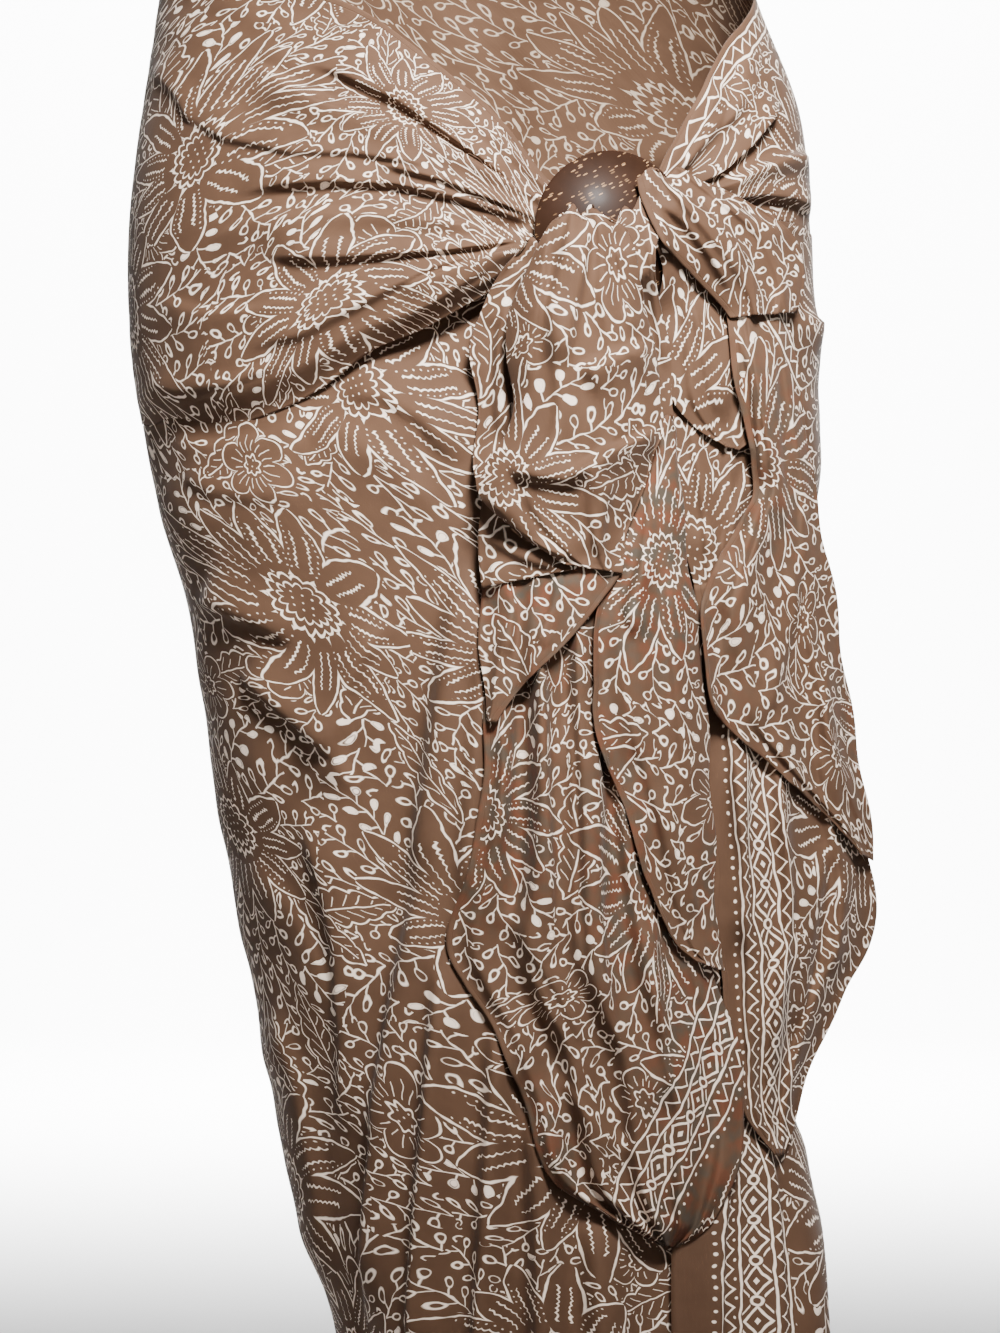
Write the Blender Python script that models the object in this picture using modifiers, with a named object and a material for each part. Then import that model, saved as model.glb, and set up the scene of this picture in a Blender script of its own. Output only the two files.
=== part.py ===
"""A batik sarong, worn: one rectangle of thin cloth wound round the hips and drawn through a shell ring.

The cloth goes round the back. Both upper corners come forward, pass through the ring
from behind, and hang in front of it as two folded tails.
The origin is on the body's axis at the height of the ring. +X is to the right as seen
from the front, +Y points to the back, and +Z points up. Units are metres.
"""

import math

import bmesh
import bpy
import numpy as np
from mathutils import Matrix, Vector
from mathutils.bvhtree import BVHTree

# Driving sizes. Turns are in degrees, 0 at the front and positive to the right
WALL = 0.0012
GAP = 0.0003
REST_GAP = 0.0004
HEM = -0.932
HEM_WAVE = 0.005
HEM_WAVE_TURN = 30.0
KNEE = -0.500
SIDE_TURN = 95.0
SIDE_SEAM = 0.28
UNDER_END_TURN = 76.0

# The form's section: the power that rounds it, and the share of its half width past which a
# tail hangs straight on
ROUND = 0.93
FLANK = 0.80

# Laying one sheet over others: how far round each point it looks, as a share of the step to
# the next point and at least so far, how near counts as near, and how often it is settled
CLEAR_SHARE = 0.7
CLEAR_LEAST = 0.004
NEARBY = 0.02
SETTLE_STEPS = 6
SMOOTH_STEPS = 3

# The rows and columns of each sheet round the hips, and how much finer the rows are at the top
WRAP_STEPS = {
    "back_fall": (19, 24, 1.10),
    "left_fall": (20, 30, 1.25),
    "right_fall": (18, 16, 1.15),
    "left_band": (16, 24, 1.0),
    "right_band": (10, 14, 1.0),
}

RING_PLACE = (0.066, -0.1115, -0.004)
RING_TURN = 17.0
RING_RADIUS = 0.038
RING_HOLE = 0.014
RING_HOLE_DROP = -0.009
RING_DOME = 0.055
RING_WALL = 0.004
RING_LIP = 0.02
RING_STEPS = 36
RING_ARC_STEPS = 6

GATHER_FOLDS = 7
GATHER_FOLD_DEPTH = 0.05
GATHER_STEPS = 42

# The right side's outer layer lies over the left one from its end edge on, at these x
OVERLAP_START = 0.070
OVERLAP_FULL = 0.088
OVERLAP_INSET = 0.0040
END_EDGE = 0.094

# The wrapped cloth's reach to the left, right, front and back at each height
FORM_COLUMNS = ("height", "left", "right", "front", "back")
FORM = (
    (-0.940, -0.042, 0.200, -0.100, 0.104),
    (-0.800, -0.040, 0.196, -0.094, 0.098),
    (-0.700, -0.042, 0.191, -0.091, 0.094),
    (-0.600, -0.053, 0.184, -0.090, 0.091),
    (-0.528, -0.068, 0.173, -0.091, 0.091),
    (-0.465, -0.086, 0.158, -0.093, 0.092),
    (-0.369, -0.1065, 0.152, -0.098, 0.096),
    (-0.273, -0.125, 0.154, -0.103, 0.103),
    (-0.177, -0.140, 0.157, -0.108, 0.114),
    (-0.129, -0.154, 0.163, -0.110, 0.121),
    (-0.060, -0.166, 0.169, -0.112, 0.127),
    (0.000, -0.168, 0.165, -0.113, 0.125),
    (0.063, -0.161, 0.159, -0.109, 0.119),
    (0.111, -0.1535, 0.1405, -0.104, 0.112),
    (0.150, -0.146, 0.127, -0.098, 0.104),
)

# The upper and lower edges of the two stretches that run to the ring
BAND_COLUMNS = ("turn", "upper", "lower")
LEFT_BAND = (
    (-95.0, 0.135, -0.090),
    (-74.0, 0.133, -0.092),
    (-43.0, 0.1255, -0.092),
    (-27.0, 0.112, -0.078),
    (-15.0, 0.099, -0.058),
    (-7.0, 0.082, -0.049),
    (0.0, 0.063, -0.037),
    (5.0, 0.046, -0.026),
    (9.0, 0.030, -0.014),
    (12.0, 0.019, -0.012),
    (16.0, 0.008, -0.013),
)
RIGHT_BAND = (
    (29.0, 0.008, -0.013),
    (31.0, 0.024, -0.011),
    (35.0, 0.042, -0.006),
    (42.0, 0.065, 0.000),
    (52.0, 0.087, 0.004),
    (64.0, 0.101, 0.005),
    (75.0, 0.111, 0.003),
    (95.0, 0.126, 0.000),
)
BACK_TOP_COLUMNS = ("turn", "upper")
BACK_TOP = (
    (95.0, 0.126),
    (125.0, 0.140),
    (180.0, 0.146),
    (235.0, 0.141),
    (265.0, 0.135),
)

# How far the cloth under the left stretch runs up behind its lip, and how deep it lies there
TUCK_COLUMNS = ("turn", "climb", "inset")
TUCK = (
    (-95.0, -0.0004, 0.0000),
    (-86.0, -0.0004, 0.0012),
    (-76.0, 0.0010, 0.0040),
    (-60.0, 0.0120, 0.0065),
    (-10.0, 0.0140, 0.0080),
    (3.0, 0.0080, 0.0080),
    (12.0, -0.0120, 0.0060),
    (20.0, -0.0150, 0.0040),
    (76.0, -0.0150, 0.0040),
)

# Soft folds that run down the cloth. Columns: the height of their top, their x at the top, at
# the knee and at the hem, how far they rise, and their half width
LEFT_FALL_FOLDS = (
    (-0.150, 0.006, -0.029, -0.032, 0.0075, 0.014),
    (-0.200, 0.014, -0.001, 0.010, 0.0065, 0.012),
    (-0.300, 0.030, 0.034, 0.048, 0.0060, 0.013),
    (-0.420, 0.056, 0.062, 0.078, 0.0050, 0.012),
)
RIGHT_FALL_FOLDS = (
    (-0.330, 0.114, 0.119, 0.126, 0.0050, 0.012),
    (-0.400, 0.138, 0.148, 0.162, 0.0070, 0.013),
)
BACK_FALL_FOLDS = (
    (-0.180, -0.086, -0.040, -0.008, 0.0060, 0.015),
    (-0.110, -0.030, 0.006, 0.038, 0.0075, 0.017),
    (-0.150, 0.034, 0.054, 0.084, 0.0070, 0.016),
    (-0.240, 0.094, 0.106, 0.132, 0.0070, 0.015),
    (-0.420, 0.126, 0.140, 0.166, 0.0060, 0.012),
)
FOLD_FADE = 0.12
TUCK_FADE = 0.030

# The left stretch's lower edge turns under towards the ring
LIP_START = 0.90
LIP_ALONG = 0.35
LIP_CURL = 0.0045
LIP_CURL_SHARE = 0.03

# Ridges that gather towards the ring. Columns: their place across the stretch at the side and
# at the ring and where along it they start, as shares, how far they rise, and their half width
# as a share
LEFT_BAND_RIDGES = (
    (0.10, 0.16, 0.45, 0.0030, 0.060),
    (0.36, 0.38, 0.40, 0.0045, 0.065),
    (0.58, 0.60, 0.35, 0.0050, 0.065),
    (0.86, 0.84, 0.10, 0.0070, 0.090),
)
RIGHT_BAND_RIDGES = (
    (0.30, 0.30, 0.30, 0.0030, 0.080),
    (0.70, 0.70, 0.20, 0.0040, 0.090),
)

# The cloth bunched in the ring. Columns: the place along the ring's axis, and the radius there
GATHER = (
    (-0.0045, 0.0110),
    (-0.0040, 0.0170),
    (0.0015, 0.0172),
    (0.0045, 0.0136),
    (0.0140, 0.0136),
    (0.0165, 0.0130),
    (0.0185, 0.0100),
)

# Each tail piece is a run of rows from its root to its end, in millimetres as seen from the
# front: the left and right end of the row, and how far its left edge, its crown and its right
# edge stand out from the cloth round the hips
TAIL_COLUMNS = ("left_x", "left_z", "right_x", "right_z", "left_out", "crown", "right_out")
THROAT_INNER = (
    (88, -46, 133, -56, 3, 3, 3),
    (89, -64, 136, -78, 3, 3, 3),
    (90, -92, 135, -102, 3, 3, 3),
    (94, -119, 136, -124, 3, 5, 3),
    (99, -143, 133, -148, 3, 4, 3),
    (104, -168, 126, -172, 3, 3, 3),
    (107, -186, 117, -190, 3, 1, 3),
)
THROAT_FLAP = (
    (90, -12, 112, -16, 12, 2, 12),
    (89, -22, 122, -34, 10, 4, 10),
    (88, -38, 131, -50, 9, 5, 9),
    (88, -56, 134, -66, 10, 5, 9),
    (91, -78, 134, -90, 11, 4, 9),
    (104, -94, 131, -101, 12, 2, 9),
    (120, -104, 126, -106, 11, 1, 9),
)
THROAT_FOLD = (
    (70, 4, 86, 5, 20, 3, 20),
    (70, -8, 85, -8, 18, 4, 18),
    (71, -23, 86, -23, 15, 6, 14),
    (76, -44, 90, -44, 12, 6, 11),
    (82, -68, 94, -68, 10, 5, 10),
    (86, -92, 96, -92, 9, 3, 9),
)
RIGHT_TAIL_UNDER = (
    (106, -170, 160, -176, 3, 5, 4),
    (108, -200, 172, -206, 3, 6, 5),
    (109, -234, 182, -244, 3, 7, 6),
    (111, -270, 190, -286, 3, 8, 6),
    (114, -305, 196, -316, 3, 8, 6),
    (116, -335, 194, -345, 3, 7, 6),
    (119, -360, 180, -368, 3, 6, 5),
    (124, -392, 166, -398, 3, 4, 4),
    (130, -420, 157, -422, 3, 3, 4),
    (145, -442, 150, -443, 3, 1, 3),
)
LEFT_TAIL_PANEL = (
    (12, -158, 84, -158, 3, 6, 3),
    (8, -195, 84, -196, 3, 8, 4),
    (6, -240, 88, -246, 3, 9, 5),
    (2, -288, 97, -298, 3, 10, 6),
    (-11, -334, 114, -350, 3, 10, 6),
    (-4, -358, 124, -380, 3, 10, 6),
    (12, -381, 130, -405, 3, 9, 6),
    (24, -414, 129, -431, 3, 7, 5),
    (38, -450, 124, -455, 3, 5, 5),
    (64, -469, 113, -474, 3, 3, 4),
    (88, -482, 97, -484, 3, 1, 3),
)
LEFT_TAIL_ROLL = (
    (74, -128, 97, -128, 6, 8, 6),
    (67, -160, 103, -162, 7, 10, 7),
    (59, -188, 108, -190, 8, 12, 8),
    (57, -225, 111, -226, 9, 13, 8),
    (64, -256, 113, -258, 9, 12, 8),
    (76, -286, 115, -289, 9, 10, 8),
    (84, -314, 116, -322, 9, 6, 8),
    (96, -337, 118, -346, 9, 3, 8),
    (108, -348, 120, -353, 9, 1, 8),
)
LEFT_TAIL_POINT = (
    (6, -140, 70, -148, 8, 5, 10),
    (4, -160, 71, -164, 8, 6, 10),
    (4, -180, 61, -178, 8, 6, 9),
    (4, -198, 45, -196, 8, 5, 8),
    (5, -215, 28, -214, 7, 3, 8),
    (7, -234, 11, -235, 7, 1, 7),
)
LEFT_TAIL_UNDERTURN = (
    (5, -118, 46, -132, 12, 5, 12),
    (4, -134, 52, -146, 12, 5, 12),
    (4, -152, 55, -156, 11, 4, 12),
    (4, -172, 49, -163, 11, 2, 12),
)
LEFT_TAIL_SIDE = (
    (24, -12, 42, -14, 10, 3, 14),
    (10, -28, 34, -28, 12, 6, 14),
    (4, -44, 30, -44, 12, 8, 12),
    (0, -62, 28, -62, 12, 9, 12),
    (3, -88, 32, -88, 13, 9, 13),
    (2, -110, 40, -110, 13, 8, 13),
    (2, -127, 46, -128, 13, 5, 13),
)
LEFT_TAIL_TOP = (
    (40, 2, 60, 1, 26, 2, 26),
    (34, -8, 72, -6, 23, 7, 24),
    (27, -22, 77, -21, 19, 11, 20),
    (17, -42, 82, -40, 17, 14, 17),
    (17, -62, 86, -62, 16, 15, 15),
    (19, -82, 89, -82, 16, 15, 14),
    (16, -99, 90, -97, 17, 14, 14),
    (8, -114, 84, -110, 18, 12, 15),
    (4, -129, 79, -129, 18, 11, 15),
    (18, -144, 74, -144, 17, 8, 14),
    (34, -155, 71, -157, 16, 5, 14),
    (46, -161, 70, -165, 15, 2, 13),
)
RIGHT_TAIL_FOLD = (
    (134, -106, 160, -104, 8, 2, 5),
    (128, -128, 165, -126, 9, 5, 6),
    (117, -152, 171, -158, 10, 8, 7),
    (110, -180, 177, -189, 10, 10, 7),
    (110, -206, 181, -216, 10, 11, 7),
    (117, -232, 186, -242, 10, 11, 7),
    (140, -254, 190, -266, 10, 9, 7),
    (158, -268, 193, -282, 10, 6, 7),
    (174, -282, 195, -293, 9, 3, 7),
    (188, -299, 196, -303, 9, 1, 7),
)
RIGHT_TAIL_MIDDLE = (
    (120, -34, 153, -30, 13, 4, 7),
    (122, -54, 154, -52, 12, 6, 7),
    (126, -74, 157, -72, 12, 7, 7),
    (129, -96, 160, -94, 12, 7, 7),
    (131, -117, 160, -112, 12, 5, 7),
    (134, -131, 143, -127, 12, 1, 10),
)
RIGHT_TAIL_TOP = (
    (78, 20, 104, 22, 24, 3, 12),
    (80, 8, 126, 14, 24, 6, 11),
    (88, -9, 152, 0, 22, 8, 9),
    (104, -24, 158, -14, 19, 8, 8),
    (116, -36, 158, -28, 17, 6, 8),
    (122, -44, 154, -40, 15, 3, 8),
)

CLOTH_COLOUR = (0.27, 0.165, 0.105, 1.0)
UNDER_CLOTH_COLOUR = (0.23, 0.14, 0.09, 1.0)
SHELL_COLOUR = (0.035, 0.016, 0.009, 1.0)


def clear_scene():
    for item in list(bpy.data.objects):
        bpy.data.objects.remove(item, do_unlink=True)


def material(name, colour, roughness):
    made = bpy.data.materials.new(name)
    made.use_nodes = True
    shader = made.node_tree.nodes["Principled BSDF"]
    shader.inputs["Base Color"].default_value = colour
    shader.inputs["Roughness"].default_value = roughness
    shader.inputs["Metallic"].default_value = 0.0
    return made


def smooth_step(share):
    share = np.clip(share, 0.0, 1.0)
    return share * share * (3.0 - 2.0 * share)


def curve(at, knots, values):
    """A smooth line through the values given at rising knots."""
    knots = np.asarray(knots, float)
    values = np.asarray(values, float)
    at = np.clip(at, knots[0], knots[-1])
    slopes = np.gradient(values, knots)
    left = np.clip(np.searchsorted(knots, at, side="right") - 1, 0, len(knots) - 2)
    span = knots[left + 1] - knots[left]
    share = (at - knots[left]) / span
    start = (1 + 2 * share) * (1 - share) ** 2 * values[left]
    start = start + share * (1 - share) ** 2 * span * slopes[left]
    end = share**2 * (3 - 2 * share) * values[left + 1]
    return start + end + share**2 * (share - 1) * span * slopes[left + 1]


def column(table, columns, name, at):
    """One column of a table, read smoothly along its first column."""
    rows = np.array(table)
    return curve(at, rows[:, 0], rows[:, columns.index(name)])


def reach(height):
    """The middle, half width, front depth and back depth of the form at a height."""
    left = column(FORM, FORM_COLUMNS, "left", height)
    right = column(FORM, FORM_COLUMNS, "right", height)
    front = -column(FORM, FORM_COLUMNS, "front", height)
    back = column(FORM, FORM_COLUMNS, "back", height)
    return (left + right) / 2, (right - left) / 2, front, back


def rounded(value):
    return np.sign(value) * np.abs(value) ** ROUND


def on_form(turn, height, out):
    """Points on the wrapped form, at a turn in degrees, moved out by out."""
    middle, half, front, back = reach(height)
    angle = np.radians(turn)
    depth = np.where(np.cos(angle) > 0, front, back) + out
    x = middle + (half + out) * rounded(np.sin(angle))
    y = -depth * rounded(np.cos(angle))
    return np.stack([x, y, height + 0.0 * x], axis=-1)


def turn_at(x, height):
    """The turn in degrees at which the form's front is at x."""
    middle, half, _, _ = reach(height)
    share = np.clip((x - middle) / half, -1.0, 1.0)
    return np.degrees(np.arcsin(np.sign(share) * np.abs(share) ** (1 / ROUND)))


def front_of_form(x, height):
    """The form's front at x. Past the flank it goes straight on, as hanging cloth does."""
    middle, half, front, _ = reach(height)
    power = 2 / ROUND
    share = (x - middle) / half
    near = np.clip(np.abs(share), 0.0, FLANK)
    cut = (1 - near**power) ** (1 / power)
    slope = near ** (power - 1) * cut ** (1 - power)
    return -front * (cut - slope * (np.abs(share) - near))


def fold_rise(table, x, height):
    """How far the folds of a table lift the cloth at x and height."""
    total = 0.0 * x
    for top, top_x, knee_x, hem_x, rise, width in table:
        line = np.interp(height, (HEM, KNEE, top), (hem_x, knee_x, top_x))
        grown = smooth_step((top - height) / FOLD_FADE)
        total = total + rise * grown * np.exp(-(((x - line) / width) ** 2))
    return total


def ridge_rise(table, along, down):
    """How far the ridges of a gathered stretch lift it. Along runs to the ring."""
    total = 0.0 * along
    for side, ring, start, rise, width in table:
        line = side + (ring - side) * along
        grown = smooth_step((along - start) / (0.95 - start)) * (1 - 0.65 * along**4)
        total = total + rise * grown * np.exp(-(((down - line) / width) ** 2))
    return total


def hem_height(turn):
    return HEM + HEM_WAVE * np.cos(np.radians(2 * turn + HEM_WAVE_TURN))


def lattice(rows, columns, row_power=1.0):
    """Row and column shares from 0 to 1 for a sheet's points."""
    down = np.linspace(0, 1, rows + 1)[:, None] ** row_power
    across = np.linspace(0, 1, columns + 1)[None, :]
    return down + 0 * across, across + 0 * down


def back_fall_points():
    down, across = lattice(*WRAP_STEPS["back_fall"])
    turn = SIDE_TURN + across * (360 - 2 * SIDE_TURN)
    top = column(BACK_TOP, BACK_TOP_COLUMNS, "upper", turn)
    height = top + (hem_height(turn) - top) * down
    x = on_form(turn, height, 0.0)[..., 0]
    side_fade = np.sin(np.pi * across) ** 0.5
    return on_form(turn, height, fold_rise(BACK_FALL_FOLDS, x, height) * side_fade)


def left_band_points():
    down, across = lattice(*WRAP_STEPS["left_band"])
    start, end = -SIDE_TURN + SIDE_SEAM, LEFT_BAND[-1][0]
    along = 1 - (1 - across) ** 1.35
    turn = start + (end - start) * along
    upper = column(LEFT_BAND, BAND_COLUMNS, "upper", turn)
    lower = column(LEFT_BAND, BAND_COLUMNS, "lower", turn)
    height = upper + (lower - upper) * down
    curl = smooth_step((down - LIP_START) / (1 - LIP_START)) * smooth_step(along / LIP_ALONG)
    curl = curl * np.minimum(LIP_CURL, LIP_CURL_SHARE * (upper - lower))
    return on_form(turn, height, ridge_rise(LEFT_BAND_RIDGES, along, down) - curl)


def left_fall_points():
    down, across = lattice(*WRAP_STEPS["left_fall"])
    start, end = -SIDE_TURN + SIDE_SEAM, UNDER_END_TURN
    turn = start + (end - start) * across
    lip = column(LEFT_BAND, BAND_COLUMNS, "lower", turn)
    top = lip + column(TUCK, TUCK_COLUMNS, "climb", turn)
    height = top + (hem_height(turn) - top) * down
    x = on_form(turn, height, 0.0)[..., 0]
    under = smooth_step((x - OVERLAP_START) / (OVERLAP_FULL - OVERLAP_START))
    side_fade = smooth_step(across / 0.06)
    tuck = column(TUCK, TUCK_COLUMNS, "inset", turn) * (1 - smooth_step((lip - height) / TUCK_FADE))
    lift = fold_rise(LEFT_FALL_FOLDS, x, height) * (1 - under) * side_fade - tuck
    lift = np.minimum(lift, (1 - under) * lift - under * OVERLAP_INSET)
    return on_form(turn, height, lift)


def right_band_points():
    down, across = lattice(*WRAP_STEPS["right_band"])
    start, end = RIGHT_BAND[0][0], SIDE_TURN - SIDE_SEAM
    along = across**1.2
    turn = start + (end - start) * along
    upper = column(RIGHT_BAND, BAND_COLUMNS, "upper", turn)
    lower = column(RIGHT_BAND, BAND_COLUMNS, "lower", turn)
    height = upper + (lower - upper) * down
    return on_form(turn, height, ridge_rise(RIGHT_BAND_RIDGES, 1 - along, down))


def right_fall_points():
    down, across = lattice(*WRAP_STEPS["right_fall"])
    start, end = turn_at(END_EDGE, RIGHT_BAND[0][2]), SIDE_TURN - SIDE_SEAM
    turn = start + (end - start) * across
    top = column(RIGHT_BAND, BAND_COLUMNS, "lower", turn) - 3 * GAP
    height = top + (hem_height(turn) - top) * down
    start = turn_at(END_EDGE, height)
    turn = start + (end - start) * across
    x = on_form(turn, height, 0.0)[..., 0]
    side_fade = smooth_step((1 - across) / 0.08)
    return on_form(turn, height, fold_rise(RIGHT_FALL_FOLDS, x, height) * side_fade)


class Pile:
    """The outer skins built so far, to lay the next piece of cloth over."""

    def __init__(self):
        self.skins = []

    def add(self, vertices, faces):
        self.skins.append(Skin(vertices, faces))

    def front(self, x, height):
        """The foremost y that any skin has at a place seen from the front."""
        return min(skin.front(x, height) for skin in self.skins)

    def clearance(self, sheet_skin):
        """The least distance between a sheet's skin and the skins of the pile."""
        return min(skin.distance(sheet_skin) for skin in self.skins)


class Skin:
    """One outer face, with its search tree."""

    def __init__(self, vertices, faces):
        self.vertices = np.array([tuple(vertex) for vertex in vertices])
        self.tree = BVHTree.FromPolygons([Vector(vertex) for vertex in vertices], faces)
        self.low = self.vertices.min(axis=0) - NEARBY
        self.high = self.vertices.max(axis=0) + NEARBY

    def front(self, x, height):
        if not (self.low[0] < x < self.high[0] and self.low[2] < height < self.high[2]):
            return 1.0
        hit = self.tree.ray_cast(Vector((x, -1.0, height)), Vector((0.0, 1.0, 0.0)))[0]
        return 1.0 if hit is None else hit.y

    def distance(self, other):
        """The least distance between two skins, from the points of each."""
        found = NEARBY
        for near, far in ((self, other), (other, self)):
            inside = ((near.vertices > far.low) & (near.vertices < far.high)).all(axis=1)
            for vertex in near.vertices[inside]:
                found = min(found, far.tree.find_nearest(Vector(vertex))[3])
        return found


def crown_shape(across, power):
    """1 in the middle and 0 at both edges. A small power makes the edges roll under."""
    share = 2 * across - 1
    return np.clip(1 - share * share, 0.0, 1.0) ** power


def tail_points(table, rows, columns, power, creases, pile):
    """A tail piece, laid over everything beneath it."""
    data = np.array(table) / 1000
    knots = np.arange(len(table), dtype=float)
    down, across = lattice(rows, columns)
    across = 0.5 - 0.5 * np.cos(np.pi * across) if power < 0.8 else across
    at = down * (len(table) - 1)
    read = {name: curve(at, knots, data[:, i]) for i, name in enumerate(TAIL_COLUMNS)}
    x = read["left_x"] + (read["right_x"] - read["left_x"]) * across
    z = read["left_z"] + (read["right_z"] - read["left_z"]) * across
    out = read["left_out"] + (read["right_out"] - read["left_out"]) * across
    out = out + read["crown"] * crown_shape(across, power)
    for top_share, end_share, rise, width in creases:
        line = top_share + (end_share - top_share) * down
        wide = (read["right_x"] - read["left_x"]) / 0.05
        out = out + rise * np.minimum(wide, 1.0) * np.exp(-(((across - line) / width) ** 2))
    y = front_of_form(x, z) - out
    return settle(np.stack([x, lay_over(x, y, z, pile), z], axis=-1), pile)


def sheet_normals(points):
    """The outward direction at each point of a sheet."""
    normal = np.cross(np.gradient(points, axis=0), np.gradient(points, axis=1))
    return normal / np.maximum(np.linalg.norm(normal, axis=-1, keepdims=True), 1e-12)


def settle(points, pile):
    """Moves a sheet straight back or forward until its wall just clears what it lies on."""
    faces = grid_faces(points.shape[0] - 1, points.shape[1] - 1)
    for _ in range(SETTLE_STEPS):
        inner = points - WALL * sheet_normals(points)
        skins = [Skin(face.reshape(-1, 3), faces) for face in (points, inner)]
        points[..., 1] += min(pile.clearance(skin) for skin in skins) - REST_GAP
    return points


def spread(values):
    """The widest step from each point of a sheet to its neighbours, down and across."""
    down = np.abs(np.diff(values, axis=0, prepend=values[:1], append=values[-1:]))
    across = np.abs(np.diff(values, axis=1, prepend=values[:, :1], append=values[:, -1:]))
    return np.maximum(np.maximum(down[1:], down[:-1]), np.maximum(across[:, 1:], across[:, :-1]))


def lay_over(x, y, z, pile):
    """Moves a sheet forward until it clears the pile, and keeps it smooth there."""
    wide = np.maximum(CLEAR_SHARE * spread(x), CLEAR_LEAST)
    tall = np.maximum(CLEAR_SHARE * spread(z), CLEAR_LEAST)
    steps = [(0.0, 0.0)]
    for step in range(8):
        angle = math.tau * step / 8
        steps.append((math.cos(angle), math.sin(angle)))
        steps.append((0.5 * math.cos(angle), 0.5 * math.sin(angle)))
    rest = np.empty_like(y)
    for place in np.ndindex(y.shape):
        fronts = [
            pile.front(x[place] + dx * wide[place], z[place] + dz * tall[place])
            for dx, dz in steps
        ]
        rest[place] = min(fronts) - WALL - GAP
    y = np.minimum(y, rest)
    for _ in range(SMOOTH_STEPS):
        padded = np.pad(y, 1, mode="edge")
        around_mean = padded[:-2, 1:-1] + padded[2:, 1:-1] + padded[1:-1, :-2] + padded[1:-1, 2:]
        y = np.minimum(y, 0.5 * y + 0.125 * around_mean)
    return y - WALL * steepness(x, y, z)


def steepness(x, y, z):
    """How much more of the wall a steep place has along y, as a share of the wall."""
    along = np.abs(sheet_normals(np.stack([x, y, z], axis=-1))[..., 1])
    return np.minimum(1 / np.maximum(along, 0.3) - 1, 2.0)


def grid_faces(rows, columns):
    wide = columns + 1
    faces = []
    for row in range(rows):
        for place in range(columns):
            corner = row * wide + place
            faces.append((corner, corner + wide, corner + wide + 1, corner + 1))
    return faces


def sheet(name, points, cloth, collection, pile):
    """A wall of cloth whose outer face has the given points."""
    rows, columns = points.shape[0] - 1, points.shape[1] - 1
    vertices = [tuple(point) for point in points.reshape(-1, 3)]
    faces = grid_faces(rows, columns)
    mesh = bpy.data.meshes.new(name)
    mesh.from_pydata(vertices, [], faces)
    mesh.shade_smooth()
    mesh.materials.append(cloth)
    made = bpy.data.objects.new(name, mesh)
    collection.objects.link(made)
    wall = made.modifiers.new("Wall", "SOLIDIFY")
    wall.thickness = WALL
    wall.offset = -1.0
    pile.add(vertices, faces)
    return made


def ring_frame():
    """The ring's place: its axis leans to the right with the hip."""
    facing = Matrix.Rotation(math.radians(RING_TURN), 4, "Z")
    upright = Matrix.Rotation(math.radians(90), 4, "X")
    return Matrix.Translation(RING_PLACE) @ facing @ upright


def ring_profile():
    """The wall of the domed disc, from the top of the dome over the rim to its hollow side."""
    rise = math.sqrt(RING_DOME**2 - RING_RADIUS**2)
    rim = math.asin(RING_RADIUS / RING_DOME)
    inner = RING_DOME - RING_WALL
    middle = RING_DOME - RING_WALL / 2
    lip = rim + RING_LIP
    profile = []
    for share in np.linspace(0, 1, RING_ARC_STEPS):
        angle = rim * share
        profile.append((RING_DOME * math.sin(angle), RING_DOME * math.cos(angle) - rise))
    profile.append((middle * math.sin(lip), middle * math.cos(lip) - rise))
    for share in np.linspace(1, 0, RING_ARC_STEPS):
        angle = rim * share
        profile.append((inner * math.sin(angle), inner * math.cos(angle) - rise))
    return profile


def shell_ring(shell, collection, cutters, pile):
    profile = ring_profile()
    mesh = bpy.data.meshes.new("ring")
    points = [(radius, 0.0, height) for radius, height in profile]
    mesh.from_pydata(points, [(i, i + 1) for i in range(len(points) - 1)], [])
    mesh.materials.append(shell)
    made = bpy.data.objects.new("ring", mesh)
    collection.objects.link(made)
    made.matrix_world = ring_frame()
    turned = made.modifiers.new("Turned", "SCREW")
    turned.angle = math.tau
    turned.steps = RING_STEPS
    turned.render_steps = RING_STEPS
    turned.use_merge_vertices = True
    turned.merge_threshold = 0.00001
    turned.use_smooth_shade = True
    bpy.ops.mesh.primitive_cylinder_add(vertices=RING_STEPS, radius=RING_HOLE, depth=RING_DOME)
    cutter = bpy.context.object
    cutter.name = "ring_hole_cutter"
    cutter.matrix_world = ring_frame() @ Matrix.Translation((0.0, RING_HOLE_DROP, 0.0))
    cutter.hide_render = True
    cutter.display_type = "WIRE"
    cutter.users_collection[0].objects.unlink(cutter)
    cutters.objects.link(cutter)
    hole = made.modifiers.new("Hole", "BOOLEAN")
    hole.operation = "DIFFERENCE"
    hole.object = cutter
    bpy.context.view_layer.update()
    solid = made.evaluated_get(bpy.context.evaluated_depsgraph_get()).to_mesh()
    vertices = [made.matrix_world @ vertex.co for vertex in solid.vertices]
    pile.add(vertices, [tuple(face.vertices) for face in solid.polygons])
    return made


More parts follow.
